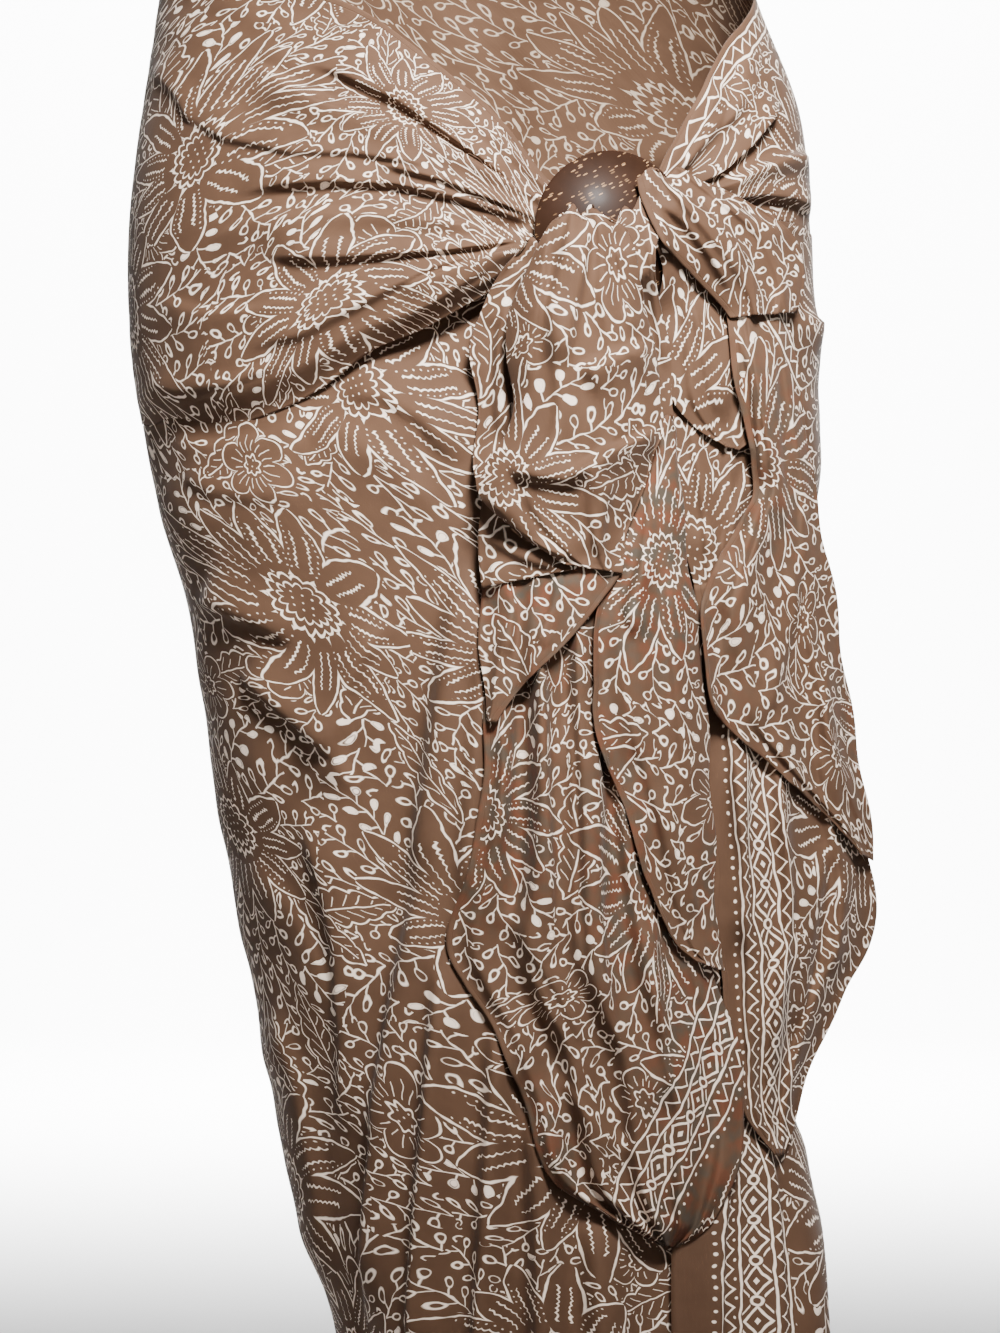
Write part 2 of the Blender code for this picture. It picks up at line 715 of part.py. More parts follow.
def ring_gather(cloth, collection, pile):
    """The cloth bunched in the ring's hole: wide behind the dome, tight in the hole."""
    shape = bmesh.new()
    loops = []
    for along, radius in GATHER:
        loop = []
        for step in range(GATHER_STEPS):
            angle = math.tau * step / GATHER_STEPS
            fold = 1 - GATHER_FOLD_DEPTH * (0.5 - 0.5 * math.cos(GATHER_FOLDS * angle))
            wide = radius * fold
            place = (wide * math.cos(angle), RING_HOLE_DROP + wide * math.sin(angle), along)
            loop.append(shape.verts.new(place))
        loops.append(loop)
    for lower, upper in zip(loops, loops[1:]):
        for step in range(GATHER_STEPS):
            after = (step + 1) % GATHER_STEPS
            shape.faces.new((lower[step], lower[after], upper[after], upper[step]))
    shape.faces.new(list(reversed(loops[0])))
    shape.faces.new(loops[-1])
    shape.transform(ring_frame())
    mesh = bpy.data.meshes.new("ring_gather")
    shape.to_mesh(mesh)
    shape.free()
    mesh.shade_smooth()
    mesh.materials.append(cloth)
    made = bpy.data.objects.new("ring_gather", mesh)
    collection.objects.link(made)
    vertices = [vertex.co.copy() for vertex in mesh.vertices]
    pile.add(vertices, [tuple(face.vertices) for face in mesh.polygons])
    return made


# The tail pieces from the lowest layer to the top one: name, rows of the table, sheet rows,
# sheet columns, crown power, and creases as top share, end share, rise and width
TAILS = (
    ("throat_inner", THROAT_INNER, 8, 6, 1.0, ((0.3, 0.4, 0.003, 0.12), (0.7, 0.7, 0.003, 0.12))),
    ("throat_flap", THROAT_FLAP, 8, 6, 1.0, ((0.35, 0.3, 0.003, 0.12),)),
    ("throat_fold", THROAT_FOLD, 8, 6, 0.6, ()),
    (
        "right_tail_under",
        RIGHT_TAIL_UNDER,
        12,
        12,
        1.0,
        ((0.25, 0.2, 0.005, 0.08), (0.55, 0.5, 0.006, 0.08), (0.82, 0.85, 0.004, 0.08)),
    ),
    (
        "left_tail_panel",
        LEFT_TAIL_PANEL,
        14,
        18,
        1.0,
        (
            (0.12, 0.14, 0.004, 0.05),
            (0.34, 0.34, 0.006, 0.06),
            (0.58, 0.55, 0.006, 0.06),
            (0.80, 0.78, 0.005, 0.06),
        ),
    ),
    ("left_tail_roll", LEFT_TAIL_ROLL, 12, 10, 0.55, ((0.35, 0.4, 0.003, 0.12),)),
    ("left_tail_point", LEFT_TAIL_POINT, 8, 8, 1.0, ((0.3, 0.3, 0.002, 0.12),)),
    ("left_tail_underturn", LEFT_TAIL_UNDERTURN, 5, 8, 1.0, ()),
    ("left_tail_side", LEFT_TAIL_SIDE, 10, 7, 0.7, ((0.5, 0.4, 0.002, 0.12),)),
    (
        "left_tail_top",
        LEFT_TAIL_TOP,
        16,
        12,
        0.5,
        ((0.30, 0.30, 0.003, 0.10), (0.66, 0.7, 0.003, 0.10)),
    ),
    (
        "right_tail_fold",
        RIGHT_TAIL_FOLD,
        12,
        12,
        1.0,
        ((0.3, 0.25, 0.004, 0.12), (0.75, 0.8, 0.003, 0.10)),
    ),
    ("right_tail_middle", RIGHT_TAIL_MIDDLE, 9, 7, 0.7, ()),
    ("right_tail_top", RIGHT_TAIL_TOP, 9, 12, 0.8, ((0.35, 0.4, 0.003, 0.10), (0.7, 0.75, 0.003, 0.08))),
)


def build():
    clear_scene()
    collection = bpy.data.collections.new("sarong")
    cutters = bpy.data.collections.new("cutters")
    bpy.context.scene.collection.children.link(collection)
    bpy.context.scene.collection.children.link(cutters)
    cloth = material("batik rayon", CLOTH_COLOUR, 0.75)
    under_cloth = material("batik rayon in shade", UNDER_CLOTH_COLOUR, 0.78)
    shell = material("polished coconut shell", SHELL_COLOUR, 0.22)
    pile = Pile()
    sheet("back_fall", back_fall_points(), cloth, collection, pile)
    sheet("left_fall", left_fall_points(), cloth, collection, pile)
    sheet("right_fall", right_fall_points(), cloth, collection, pile)
    sheet("left_band", left_band_points(), cloth, collection, pile)
    sheet("right_band", right_band_points(), cloth, collection, pile)
    shell_ring(shell, collection, cutters, pile)
    ring_gather(under_cloth, collection, pile)
    for name, table, rows, columns, power, creases in TAILS:
        points = tail_points(table, rows, columns, power, creases, pile)
        sheet(name, points, cloth, collection, pile)


build()
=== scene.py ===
"""The looks of a batik sarong, worn and drawn through a shell ring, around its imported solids.

Each stretch of cloth is a thin shell laid on its solid's form, with its folds and creases.
The print is drawn by shader nodes in millimetres of flat cloth. Lengths here are in metres,
except where a table says otherwise. +X is to the right as seen from the front, +Y points to
the back, and +Z points up.
"""

import math

import bmesh
import bpy
import numpy as np
from mathutils import Matrix, Vector
from mathutils.bvhtree import BVHTree


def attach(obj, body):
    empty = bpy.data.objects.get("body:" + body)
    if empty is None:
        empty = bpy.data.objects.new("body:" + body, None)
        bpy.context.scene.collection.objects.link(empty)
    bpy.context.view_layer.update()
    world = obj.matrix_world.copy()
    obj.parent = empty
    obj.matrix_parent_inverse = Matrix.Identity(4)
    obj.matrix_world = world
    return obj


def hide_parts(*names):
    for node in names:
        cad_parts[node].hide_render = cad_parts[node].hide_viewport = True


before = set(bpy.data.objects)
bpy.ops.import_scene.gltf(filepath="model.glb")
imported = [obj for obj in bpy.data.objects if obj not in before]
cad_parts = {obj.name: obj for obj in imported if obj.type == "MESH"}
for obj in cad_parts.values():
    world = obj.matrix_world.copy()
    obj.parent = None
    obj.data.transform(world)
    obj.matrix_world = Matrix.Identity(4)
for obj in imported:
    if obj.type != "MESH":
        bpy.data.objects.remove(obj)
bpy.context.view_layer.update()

# Driving sizes of the solids. Turns are in degrees, 0 at the front and positive to the right
WALL = 0.0012
GAP = 0.0003
REST_GAP = 0.0004
HEM = -0.932
HEM_WAVE = 0.005
HEM_WAVE_TURN = 30.0
KNEE = -0.500
SIDE_TURN = 95.0
SIDE_SEAM = 0.10
UNDER_END_TURN = 76.0
ROUND = 0.93
FLANK = 0.80
OVERLAP_START = 0.070
OVERLAP_FULL = 0.088
OVERLAP_INSET = 0.0040
END_EDGE = 0.094

# The shown cloth's own thickness, and how it is laid over what lies beneath
CLOTH_THICK = 0.0007
CLEAR_LEAST = 0.0040
NEARBY = 0.02
TOP_HUMP = 0.0050
EDGE_WAVER = 0.0009
WAVER_LENGTH = 0.0083
FULL_WIDTH = 0.05
PLEAT_SWAY = 0.02
PLEAT_STEEP = 0.45
SETTLE_STEPS = 3
SMOOTH_STEPS = 40
CLEAR_DIRECTIONS = 8
STEEP_LEAST = 0.3
STEEP_MOST = 2.0

# A tail piece with a crown power below this has edges that roll under, and more points there
ROLLED_POWER = 0.8

RING_PLACE = (0.066, -0.1115, -0.004)
RING_TURN = 17.0
RING_RADIUS = 0.038
RING_HOLE = 0.014
RING_HOLE_DROP = -0.009
RING_DOME = 0.055
RING_WALL = 0.004
RING_LIP = 0.02
RING_STEPS = 144
RING_ARC_STEPS = 24
RING_RIM_SHARES = (0.15, 0.85, 6)
RING_MERGE = 0.00001
RING_EDGE = 0.0006
RING_EDGE_STEPS = 3
RING_EDGE_ANGLE = 40

# Front places are read in steps of 0.48 mm, across and down from the corner of the front view
SEEN_STEP = 0.00048
SEEN_MIDDLE = 472
SEEN_LEVEL = 232

# The wrapped cloth's reach to the left, right, front and back at each height
FORM_COLUMNS = ("height", "left", "right", "front", "back")
FORM = (
    (-0.940, -0.042, 0.200, -0.100, 0.104),
    (-0.800, -0.040, 0.196, -0.094, 0.098),
    (-0.700, -0.042, 0.191, -0.091, 0.094),
    (-0.600, -0.053, 0.184, -0.090, 0.091),
    (-0.528, -0.068, 0.173, -0.091, 0.091),
    (-0.465, -0.086, 0.158, -0.093, 0.092),
    (-0.369, -0.1065, 0.152, -0.098, 0.096),
    (-0.273, -0.125, 0.154, -0.103, 0.103),
    (-0.177, -0.140, 0.157, -0.108, 0.114),
    (-0.129, -0.154, 0.163, -0.110, 0.121),
    (-0.060, -0.166, 0.169, -0.112, 0.127),
    (0.000, -0.168, 0.165, -0.113, 0.125),
    (0.063, -0.161, 0.159, -0.109, 0.119),
    (0.111, -0.1535, 0.1405, -0.104, 0.112),
    (0.150, -0.146, 0.127, -0.098, 0.104),
)

# The upper and lower edges of the two stretches that run to the ring
BAND_COLUMNS = ("turn", "upper", "lower")
LEFT_BAND = (
    (-95.0, 0.135, -0.090),
    (-74.0, 0.133, -0.092),
    (-43.0, 0.1255, -0.092),
    (-27.0, 0.112, -0.078),
    (-15.0, 0.099, -0.058),
    (-7.0, 0.082, -0.049),
    (0.0, 0.063, -0.037),
    (5.0, 0.046, -0.026),
    (9.0, 0.030, -0.014),
    (12.0, 0.019, -0.012),
    (16.0, 0.008, -0.013),
)
RIGHT_BAND = (
    (29.0, 0.008, -0.013),
    (31.0, 0.024, -0.011),
    (35.0, 0.042, -0.006),
    (42.0, 0.065, 0.000),
    (52.0, 0.087, 0.004),
    (64.0, 0.101, 0.005),
    (75.0, 0.111, 0.003),
    (95.0, 0.126, 0.000),
)
BORDER_SHOWN = 0.044
BACK_TOP_COLUMNS = ("turn", "upper")
BACK_TOP = (
    (95.0, 0.126),
    (125.0, 0.140),
    (180.0, 0.146),
    (235.0, 0.141),
    (265.0, 0.135),
)

# How far the cloth under the left stretch runs up behind its lip, and how deep it lies there
TUCK_COLUMNS = ("turn", "climb", "inset")
TUCK = (
    (-95.0, -0.0004, 0.0000),
    (-86.0, -0.0004, 0.0016),
    (-76.0, 0.0010, 0.0050),
    (-60.0, 0.0120, 0.0080),
    (-30.0, 0.0140, 0.0120),
    (-10.0, 0.0140, 0.0190),
    (3.0, 0.0080, 0.0200),
    (12.0, -0.0120, 0.0120),
    (20.0, -0.0150, 0.0050),
    (76.0, -0.0150, 0.0040),
)

# Soft folds that run down the cloth. Columns: the height of their top, their x at the top, at
# the knee and at the hem, how far they rise, and their half width
LEFT_FALL_FOLDS = (
    (-0.150, 0.006, -0.029, -0.032, 0.0101, 0.014),
    (-0.200, 0.014, -0.001, 0.010, 0.0088, 0.012),
    (-0.300, 0.030, 0.034, 0.048, 0.0081, 0.013),
    (-0.420, 0.056, 0.062, 0.078, 0.0068, 0.012),
)
RIGHT_FALL_FOLDS = (
    (-0.330, 0.114, 0.119, 0.126, 0.0065, 0.012),
    (-0.400, 0.138, 0.148, 0.162, 0.0091, 0.013),
)
BACK_FALL_FOLDS = (
    (-0.180, -0.086, -0.040, -0.008, 0.0097, 0.015),
    (-0.110, -0.030, 0.006, 0.038, 0.0121, 0.017),
    (-0.150, 0.034, 0.054, 0.084, 0.0113, 0.016),
    (-0.240, 0.094, 0.106, 0.132, 0.0113, 0.015),
    (-0.420, 0.126, 0.140, 0.166, 0.0097, 0.012),
)
FOLD_FADE = 0.12
TUCK_FADE = 0.050
LIP_FADE = 0.05

# How far from a side the folds have grown, as a share of the stretch
BAND_FADE = 0.10
LEFT_FALL_FADE = 0.06
RIGHT_FALL_FADE = 0.08

# Powers that set a sheet's rows closer at its top, and its columns closer at the ring
BACK_FALL_ROWS = 1.10
LEFT_FALL_ROWS = 1.15
RIGHT_FALL_ROWS = 1.08
LEFT_BAND_PACE = 1.35
RIGHT_BAND_PACE = 1.2

# How much wider the flat cloth is than the gathered stretch, at the ring
LEFT_GATHERED = 0.9
LEFT_GATHER_START = 0.35
LEFT_GATHER_RUN = 0.6
RIGHT_GATHERED = 0.7
RIGHT_BAND_ALONG = 0.06

# The left stretch's lower edge turns under towards the ring
LIP_START = 0.93
LIP_ALONG = 0.35
LIP_CURL = 0.0100
LIP_CURL_SHARE = 0.06

# Ridges that gather towards the ring. Columns: their place across the stretch at the side and
# at the ring and where along it they start, as shares, how far they rise, and their half width
# as a share
LEFT_BAND_RIDGES = (
    (0.10, 0.16, 0.45, 0.0030, 0.060),
    (0.36, 0.38, 0.40, 0.0045, 0.065),
    (0.58, 0.60, 0.35, 0.0050, 0.065),
    (0.86, 0.84, 0.10, 0.0070, 0.090),
)
RIGHT_BAND_RIDGES = (
    (0.30, 0.30, 0.30, 0.0030, 0.080),
    (0.70, 0.70, 0.20, 0.0040, 0.090),
)
RIDGE_FULL = 0.95
RIDGE_SINK = 0.65

# Slack waves: how many, how far they turn and bend, and the size of the patches they come in
WAVES = 9
WAVES_TOGETHER = 3
WAVE_TURN = 0.9
WAVE_BEND = 1.6
BEND_ACROSS = 0.047
BEND_DOWN = 0.061
PATCH_ACROSS = (0.05, 0.12)
PATCH_DOWN = (0.06, 0.14)

# The slack of each stretch: its seed, its rise, then its longest and its shortest wave
BACK_FALL_SLACK = (11, 0.0012, 0.070, 0.022)
LEFT_BAND_SLACK = (23, 0.0009, 0.050, 0.013)
LEFT_FALL_SLACK = (37, 0.0011, 0.060, 0.017)
RIGHT_FALL_SLACK = (41, 0.0010, 0.050, 0.016)
TAIL_SLACK = (0.0010, 0.036, 0.010)
TAIL_SEED = 60
BAND_SLACK_DRAWN = 2.2

# How long a crease takes to fade at its two ends, how much of it is left there, and how much
# narrower creases are at the ring, all as shares
CREASE_FADE = 0.22
CREASE_START = 0.05
LEFT_NARROWING = 0.72
RIGHT_NARROWING = 0.5

# Listed creases. Columns: the rise in millimetres, the half width in millimetres on the right and on the
# left of the line, then the line's points as seen from the front. The cloth falls away steeply on the
# narrow side, where it laps over itself
LEFT_BAND_CREASES = (
    (6.5, 17, 2.4, ((250, 69), (291, 92), (330, 113), (371, 128), (420, 146), (470, 170), (524, 205))),
    (4.7, 2.4, 12, ((310, 70), (352, 86), (402, 112), (450, 146), (520, 198))),
    (6.0, 2.4, 18, ((236, 200), (286, 192), (336, 190), (400, 194), (455, 207), (500, 222), (532, 236))),
    (4.7, 2.2, 12, ((380, 172), (444, 190), (492, 210), (532, 228))),
    (6.0, 2.4, 16, ((262, 262), (300, 264), (339, 265), (387, 263), (451, 259), (524, 249))),
    (3.9, 12, 2.4, ((400, 300), (446, 282), (490, 264), (528, 255))),
    (3.4, 12, 3.0, ((205, 250), (260, 228), (330, 222), (400, 226), (470, 236), (526, 244))),
    (3.1, 3.0, 14, ((182, 112), (230, 142), (300, 160), (362, 163), (440, 178))),
    (2.3, 12, 4.0, ((150, 300), (205, 318), (262, 316), (320, 300))),
    (2.1, 4.0, 12, ((150, 60), (180, 96), (196, 130))),
    (3.6, 3.0, 14, ((250, 352), (310, 340), (370, 310), (430, 278), (494, 258))),
    (2.6, 3.0, 9, ((330, 372), (390, 340), (440, 308), (490, 276))),
    (2.1, 3.0, 9, ((140, 380), (180, 392), (236, 388), (290, 368))),
)
LEFT_FALL_CREASES = (
    (5.0, 2.0, 13, ((192, 600), (226, 610), (262, 624), (300, 644))),
    (6.0, 2.0, 14, ((236, 674), (266, 694), (298, 719), (322, 738), (348, 757))),
    (6.0, 14, 2.0, ((392, 620), (368, 662), (352, 697), (343, 740), (344, 764), (359, 792))),
    (2.8, 3, 12, ((170, 470), (210, 492), (262, 500), (300, 494))),
    (2.8, 11, 3, ((152, 436), (200, 448), (252, 444), (300, 424))),
    (3.1, 13, 4, ((300, 424), (352, 440), (404, 470), (440, 520))),
    (5.0, 3, 14, ((330, 400), (380, 400), (424, 424), (462, 470))),
    (2.5, 12, 4, ((244, 860), (286, 900), (318, 958), (332, 1020))),
    (6.5, 6, 16, ((300, 800), (330, 868), (346, 950), (352, 1040), (350, 1150))),
    (10.0, 6, 12, ((471, 556), (458, 620), (448, 687), (438, 767), (429, 830), (420, 905))),
    (12.0, 6, 12, ((436, 850), (418, 940), (405, 1010), (392, 1100), (384, 1200), (380, 1345))),
    (15.0, 5, 9, ((454, 930), (448, 1050), (441, 1150), (436, 1250), (432, 1400))),
    (9.0, 5, 9, ((482, 600), (484, 687), (480, 760), (474, 830), (470, 920))),
    (16.0, 5, 9, ((502, 980), (499, 1080), (496, 1160), (493, 1250), (490, 1400))),
    (11.0, 5, 8, ((528, 1080), (536, 1160), (542, 1250), (548, 1400))),
    (9.0, 5, 10, ((588, 1200), (592, 1270), (600, 1400))),
    (5.0, 14, 4, ((270, 1000), (300, 1080), (318, 1180), (326, 1300))),
)
RIGHT_BAND_CREASES = (
    (6.0, 2.2, 11, ((712, 84), (692, 133), (674, 165), (662, 184))),
    (7.0, 12, 2.2, ((780, 96), (743, 146), (716, 172), (684, 196))),
    (7.0, 2.2, 11, ((816, 150), (778, 158), (745, 172), (700, 200))),
    (5.5, 10, 2.4, ((818, 206), (786, 198), (752, 198), (710, 208))),
    (2.8, 2.4, 8, ((750, 40), (736, 90), (712, 140))),
)
RIGHT_FALL_CREASES = (
    (7.0, 2.2, 13, ((716, 222), (757, 221), (788, 219), (824, 226))),
    (5.0, 13, 3, ((760, 300), (792, 318), (830, 322))),
    (5.0, 3, 13, ((790, 380), (806, 460), (812, 560))),
    (7.5, 13, 3, ((712, 1120), (706, 1230), (704, 1400))),
    (6.0, 13, 3, ((756, 1130), (760, 1240), (766, 1400))),
    (7.5, 13, 3, ((800, 1100), (806, 1220), (814, 1400))),
)

# Creases out of the front view, as turn in degrees and height in millimetres. A degree there
# stands for this many metres round the hips
SIDE_STEP = 0.0026
BACK_FALL_CREASES = (
    (9.0, 14, 6, ((102, 96), (118, 62), (138, 40), (160, 30))),
    (10.0, 6, 16, ((100, 20), (120, 2), (146, -16), (172, -22))),
    (7.8, 16, 6, ((101, -60), (124, -84), (150, -92), (178, -88))),
    (9.0, 14, 6, ((258, 100), (240, 74), (220, 50), (198, 40))),
    (10.0, 6, 16, ((260, 26), (236, 4), (212, -12), (188, -16))),
    (8.3, 16, 6, ((259, -52), (240, -74), (214, -86), (192, -80))),
    (5.9, 12, 6, ((172, 120), (176, 60), (182, -10), (180, -80))),
    (10.7, 18, 6, ((128, -150), (132, -300), (138, -520), (140, -760), (142, -960))),
    (11.8, 7, 20, ((152, -120), (150, -260), (156, -430), (158, -700), (156, -960))),
    (9.6, 16, 6, ((176, -180), (172, -330), (176, -560), (180, -960))),
    (11.8, 20, 6, ((204, -130), (208, -300), (204, -520), (202, -960))),
    (10.7, 7, 18, ((226, -200), (230, -380), (226, -640), (224, -960))),
    (9.0, 15, 6, ((246, -260), (248, -480), (244, -960))),
    (7.8, 6, 14, ((112, -380), (114, -560), (116, -960))),
    (6.6, 6, 14, ((250, -420), (230, -452), (206, -458), (186, -448))),
    (5.9, 14, 6, ((110, -452), (132, -476), (158, -470))),
)

# Each tail piece is a run of rows from its root to its end, in millimetres as seen from the
# front: the left and right end of the row, and how far its left edge, its crown and its right
# edge stand out from the cloth round the hips
TAIL_COLUMNS = ("left_x", "left_z", "right_x", "right_z", "left_out", "crown", "right_out")
THROAT_INNER = (
    (88, -46, 133, -56, 3, 3, 3),
    (89, -64, 136, -78, 3, 3, 3),
    (90, -92, 135, -102, 3, 3, 3),
    (94, -119, 136, -124, 3, 5, 3),
    (99, -143, 133, -148, 3, 4, 3),
    (104, -168, 126, -172, 3, 3, 3),
    (107, -186, 117, -190, 3, 1, 3),
)
THROAT_FLAP = (
    (84, -6, 112, -12, 8, 2, 8),
    (89, -22, 122, -34, 6, 4, 6),
    (88, -38, 131, -50, 5, 5, 5),
    (88, -56, 134, -66, 6, 5, 5),
    (91, -78, 134, -90, 7, 4, 5),
    (104, -94, 131, -101, 8, 2, 5),
    (120, -104, 126, -106, 7, 1, 5),
)
THROAT_FOLD = (
    (67, -2, 84, 12, 13, 3, 13),
    (69, -12, 86, -4, 11, 4, 11),
    (71, -23, 86, -23, 8, 6, 7),
    (76, -44, 90, -44, 5, 6, 4),
    (82, -68, 94, -68, 3, 5, 3),
    (86, -92, 96, -92, 3, 3, 3),
)
RIGHT_TAIL_UNDER = (
    (106, -170, 160, -176, 3, 5, 4),
    (108, -200, 172, -206, 3, 6, 5),
    (109, -234, 182, -244, 3, 7, 6),
    (111, -270, 190, -286, 3, 8, 6),
    (114, -305, 196, -316, 3, 8, 6),
    (116, -335, 194, -345, 3, 7, 6),
    (119, -360, 180, -368, 3, 6, 5),
    (124, -392, 166, -398, 3, 4, 4),
    (130, -420, 157, -422, 3, 3, 4),
    (145, -442, 150, -443, 3, 1, 3),
)
LEFT_TAIL_PANEL = (
    (12, -158, 84, -158, 3, 6, 3),
    (8, -195, 84, -196, 3, 8, 4),
    (6, -240, 88, -246, 3, 9, 5),
    (2, -288, 97, -298, 3, 10, 6),
    (-11, -334, 114, -350, 3, 10, 6),
    (-4, -358, 124, -380, 3, 10, 6),
    (12, -381, 130, -405, 3, 9, 6),
    (24, -414, 129, -431, 3, 7, 5),
    (38, -450, 124, -455, 3, 5, 5),
    (64, -469, 113, -474, 3, 3, 4),
    (88, -482, 97, -484, 3, 1, 3),
)
LEFT_TAIL_ROLL = (
    (80, -92, 97, -96, 6, 9, 6),
    (76, -124, 99, -128, 7, 11, 7),
    (67, -160, 103, -162, 8, 13, 8),
    (59, -188, 108, -190, 9, 15, 9),
    (57, -225, 111, -226, 10, 16, 9),
    (64, -256, 113, -258, 10, 15, 9),
    (76, -286, 115, -289, 10, 13, 9),
    (84, -314, 116, -322, 10, 9, 9),
    (96, -337, 118, -346, 10, 6, 9),
    (108, -348, 120, -353, 10, 4, 9),
)
LEFT_TAIL_POINT = (
    (6, -140, 70, -148, 8, 5, 10),
    (4, -160, 71, -164, 8, 6, 10),
    (4, -180, 61, -178, 8, 6, 9),
    (4, -198, 45, -196, 8, 5, 8),
    (5, -215, 28, -214, 7, 3, 8),
    (7, -234, 11, -235, 7, 1, 7),
)
LEFT_TAIL_UNDERTURN = (
    (5, -118, 46, -132, 12, 5, 12),
    (4, -134, 52, -146, 12, 5, 12),
    (4, -152, 55, -156, 11, 4, 12),
    (4, -172, 49, -163, 11, 2, 12),
)
LEFT_TAIL_SIDE = (
    (24, -12, 42, -14, 3, 1, 7),
    (10, -28, 34, -28, 3, 1, 7),
    (4, -44, 30, -44, 3, 2, 5),
    (0, -62, 28, -62, 3, 3, 5),
    (3, -88, 32, -88, 4, 3, 6),
    (2, -110, 40, -110, 4, 2, 6),
    (2, -127, 46, -128, 4, 1, 6),
)
LEFT_TAIL_TOP = (
    (43, 3, 60, 2, 8, 1, 8),
    (38, -1, 67, -1, 25, 6, 25),
    (34, -8, 72, -6, 24, 11, 24),
    (27, -22, 77, -21, 20, 15, 20),
    (17, -42, 82, -40, 18, 18, 17),
    (17, -62, 86, -62, 17, 19, 15),
    (19, -82, 89, -82, 17, 19, 14),
    (16, -99, 90, -97, 18, 18, 14),
    (8, -114, 84, -110, 19, 16, 15),
    (4, -129, 79, -129, 19, 15, 15),
    (18, -144, 74, -144, 18, 12, 14),
    (34, -155, 71, -157, 17, 9, 14),
    (46, -161, 70, -165, 16, 6, 13),
)
RIGHT_TAIL_DROP = (
    (118, -30, 150, -24, 14, 4, 7),
    (121, -52, 153, -48, 13, 6, 7),
    (125, -74, 156, -70, 13, 7, 7),
    (129, -96, 160, -92, 13, 7, 7),
    (133, -114, 163, -110, 13, 7, 7),
    (134, -128, 165, -126, 12, 7, 7),
    (124, -144, 168, -142, 12, 8, 7),
    (114, -162, 173, -162, 11, 9, 7),
    (109, -184, 177, -187, 10, 10, 7),
    (110, -208, 181, -216, 10, 11, 7),
    (118, -233, 186, -242, 10, 11, 7),
    (140, -254, 190, -266, 10, 9, 7),
    (158, -269, 193, -282, 10, 6, 7),
    (174, -283, 195, -293, 9, 3, 7),
    (188, -299, 196, -303, 9, 1, 7),
)
RIGHT_TAIL_TOP = (
    (78, 20, 104, 22, 24, 3, 12),
    (80, 8, 126, 14, 24, 6, 11),
    (88, -9, 152, 0, 22, 8, 9),
    (104, -24, 158, -14, 19, 8, 8),
    (116, -36, 158, -28, 17, 6, 8),
    (122, -44, 154, -40, 15, 3, 8),
)


def smooth_step(share):
    """A share from 0 to 1, eased at both ends."""
    share = np.clip(share, 0.0, 1.0)
    return share * share * (3.0 - 2.0 * share)


def curve(at, knots, values):
    """A smooth line through the values given at rising knots."""
    knots = np.asarray(knots, float)
    values = np.asarray(values, float)
    at = np.clip(at, knots[0], knots[-1])
    slopes = np.gradient(values, knots)
    left = np.clip(np.searchsorted(knots, at, side="right") - 1, 0, len(knots) - 2)
    span = knots[left + 1] - knots[left]
    share = (at - knots[left]) / span
    start = (1 + 2 * share) * (1 - share) ** 2 * values[left]
    start = start + share * (1 - share) ** 2 * span * slopes[left]
    end = share**2 * (3 - 2 * share) * values[left + 1]
    return start + end + share**2 * (share - 1) * span * slopes[left + 1]


def column(table, columns, name, at):
    """One column of a table, read smoothly along its first column."""
    rows = np.array(table)
    return curve(at, rows[:, 0], rows[:, columns.index(name)])


def reach(height):
    """The middle, half width, front depth and back depth of the form at a height."""
    left = column(FORM, FORM_COLUMNS, "left", height)
    right = column(FORM, FORM_COLUMNS, "right", height)
    front = -column(FORM, FORM_COLUMNS, "front", height)
    back = column(FORM, FORM_COLUMNS, "back", height)
    return (left + right) / 2, (right - left) / 2, front, back


def rounded(value):
    """A sine or cosine, moved towards the form's slightly squared round."""
    return np.sign(value) * np.abs(value) ** ROUND


def on_form(turn, height, out):
    """Points on the wrapped form, at a turn in degrees, moved out by out."""
    middle, half, front, back = reach(height)
    angle = np.radians(turn)
    depth = np.where(np.cos(angle) > 0, front, back) + out
    x = middle + (half + out) * rounded(np.sin(angle))
    y = -depth * rounded(np.cos(angle))
    return np.stack([x, y, height + 0.0 * x], axis=-1)


def turn_at(x, height):
    """The turn in degrees at which the form's front is at x."""
    middle, half, _, _ = reach(height)
    share = np.clip((x - middle) / half, -1.0, 1.0)
    return np.degrees(np.arcsin(np.sign(share) * np.abs(share) ** (1 / ROUND)))


def front_of_form(x, height):
    """The form's front at x. Past the flank it goes straight on, as hanging cloth does."""
    middle, half, front, _ = reach(height)
    power = 2 / ROUND
    share = (x - middle) / half
    near = np.clip(np.abs(share), 0.0, FLANK)
    cut = (1 - near**power) ** (1 / power)
    slope = near ** (power - 1) * cut ** (1 - power)
    return -front * (cut - slope * (np.abs(share) - near))


def fold_rise(table, x, height):
    """How far the folds of a table lift the cloth at x and height."""
    total = 0.0 * x
    for top, top_x, knee_x, hem_x, rise, width in table:
        line = np.interp(height, (HEM, KNEE, top), (hem_x, knee_x, top_x))
        grown = smooth_step((top - height) / FOLD_FADE)
        total = total + rise * grown * np.exp(-(((x - line) / width) ** 2))
    return total


def ridge_rise(table, along, down):
    """How far the ridges of a gathered stretch lift it. Along runs to the ring."""
    total = 0.0 * along
    for side, ring, start, rise, width in table:
        line = side + (ring - side) * along
        grown = smooth_step((along - start) / (RIDGE_FULL - start)) * (1 - RIDGE_SINK * along**4)
        total = total + rise * grown * np.exp(-(((down - line) / width) ** 2))
    return total


def seen(across, down):
    """A front place, in metres, from its steps across and down the front view."""
    return (across - SEEN_MIDDLE) * SEEN_STEP, (SEEN_LEVEL - down) * SEEN_STEP


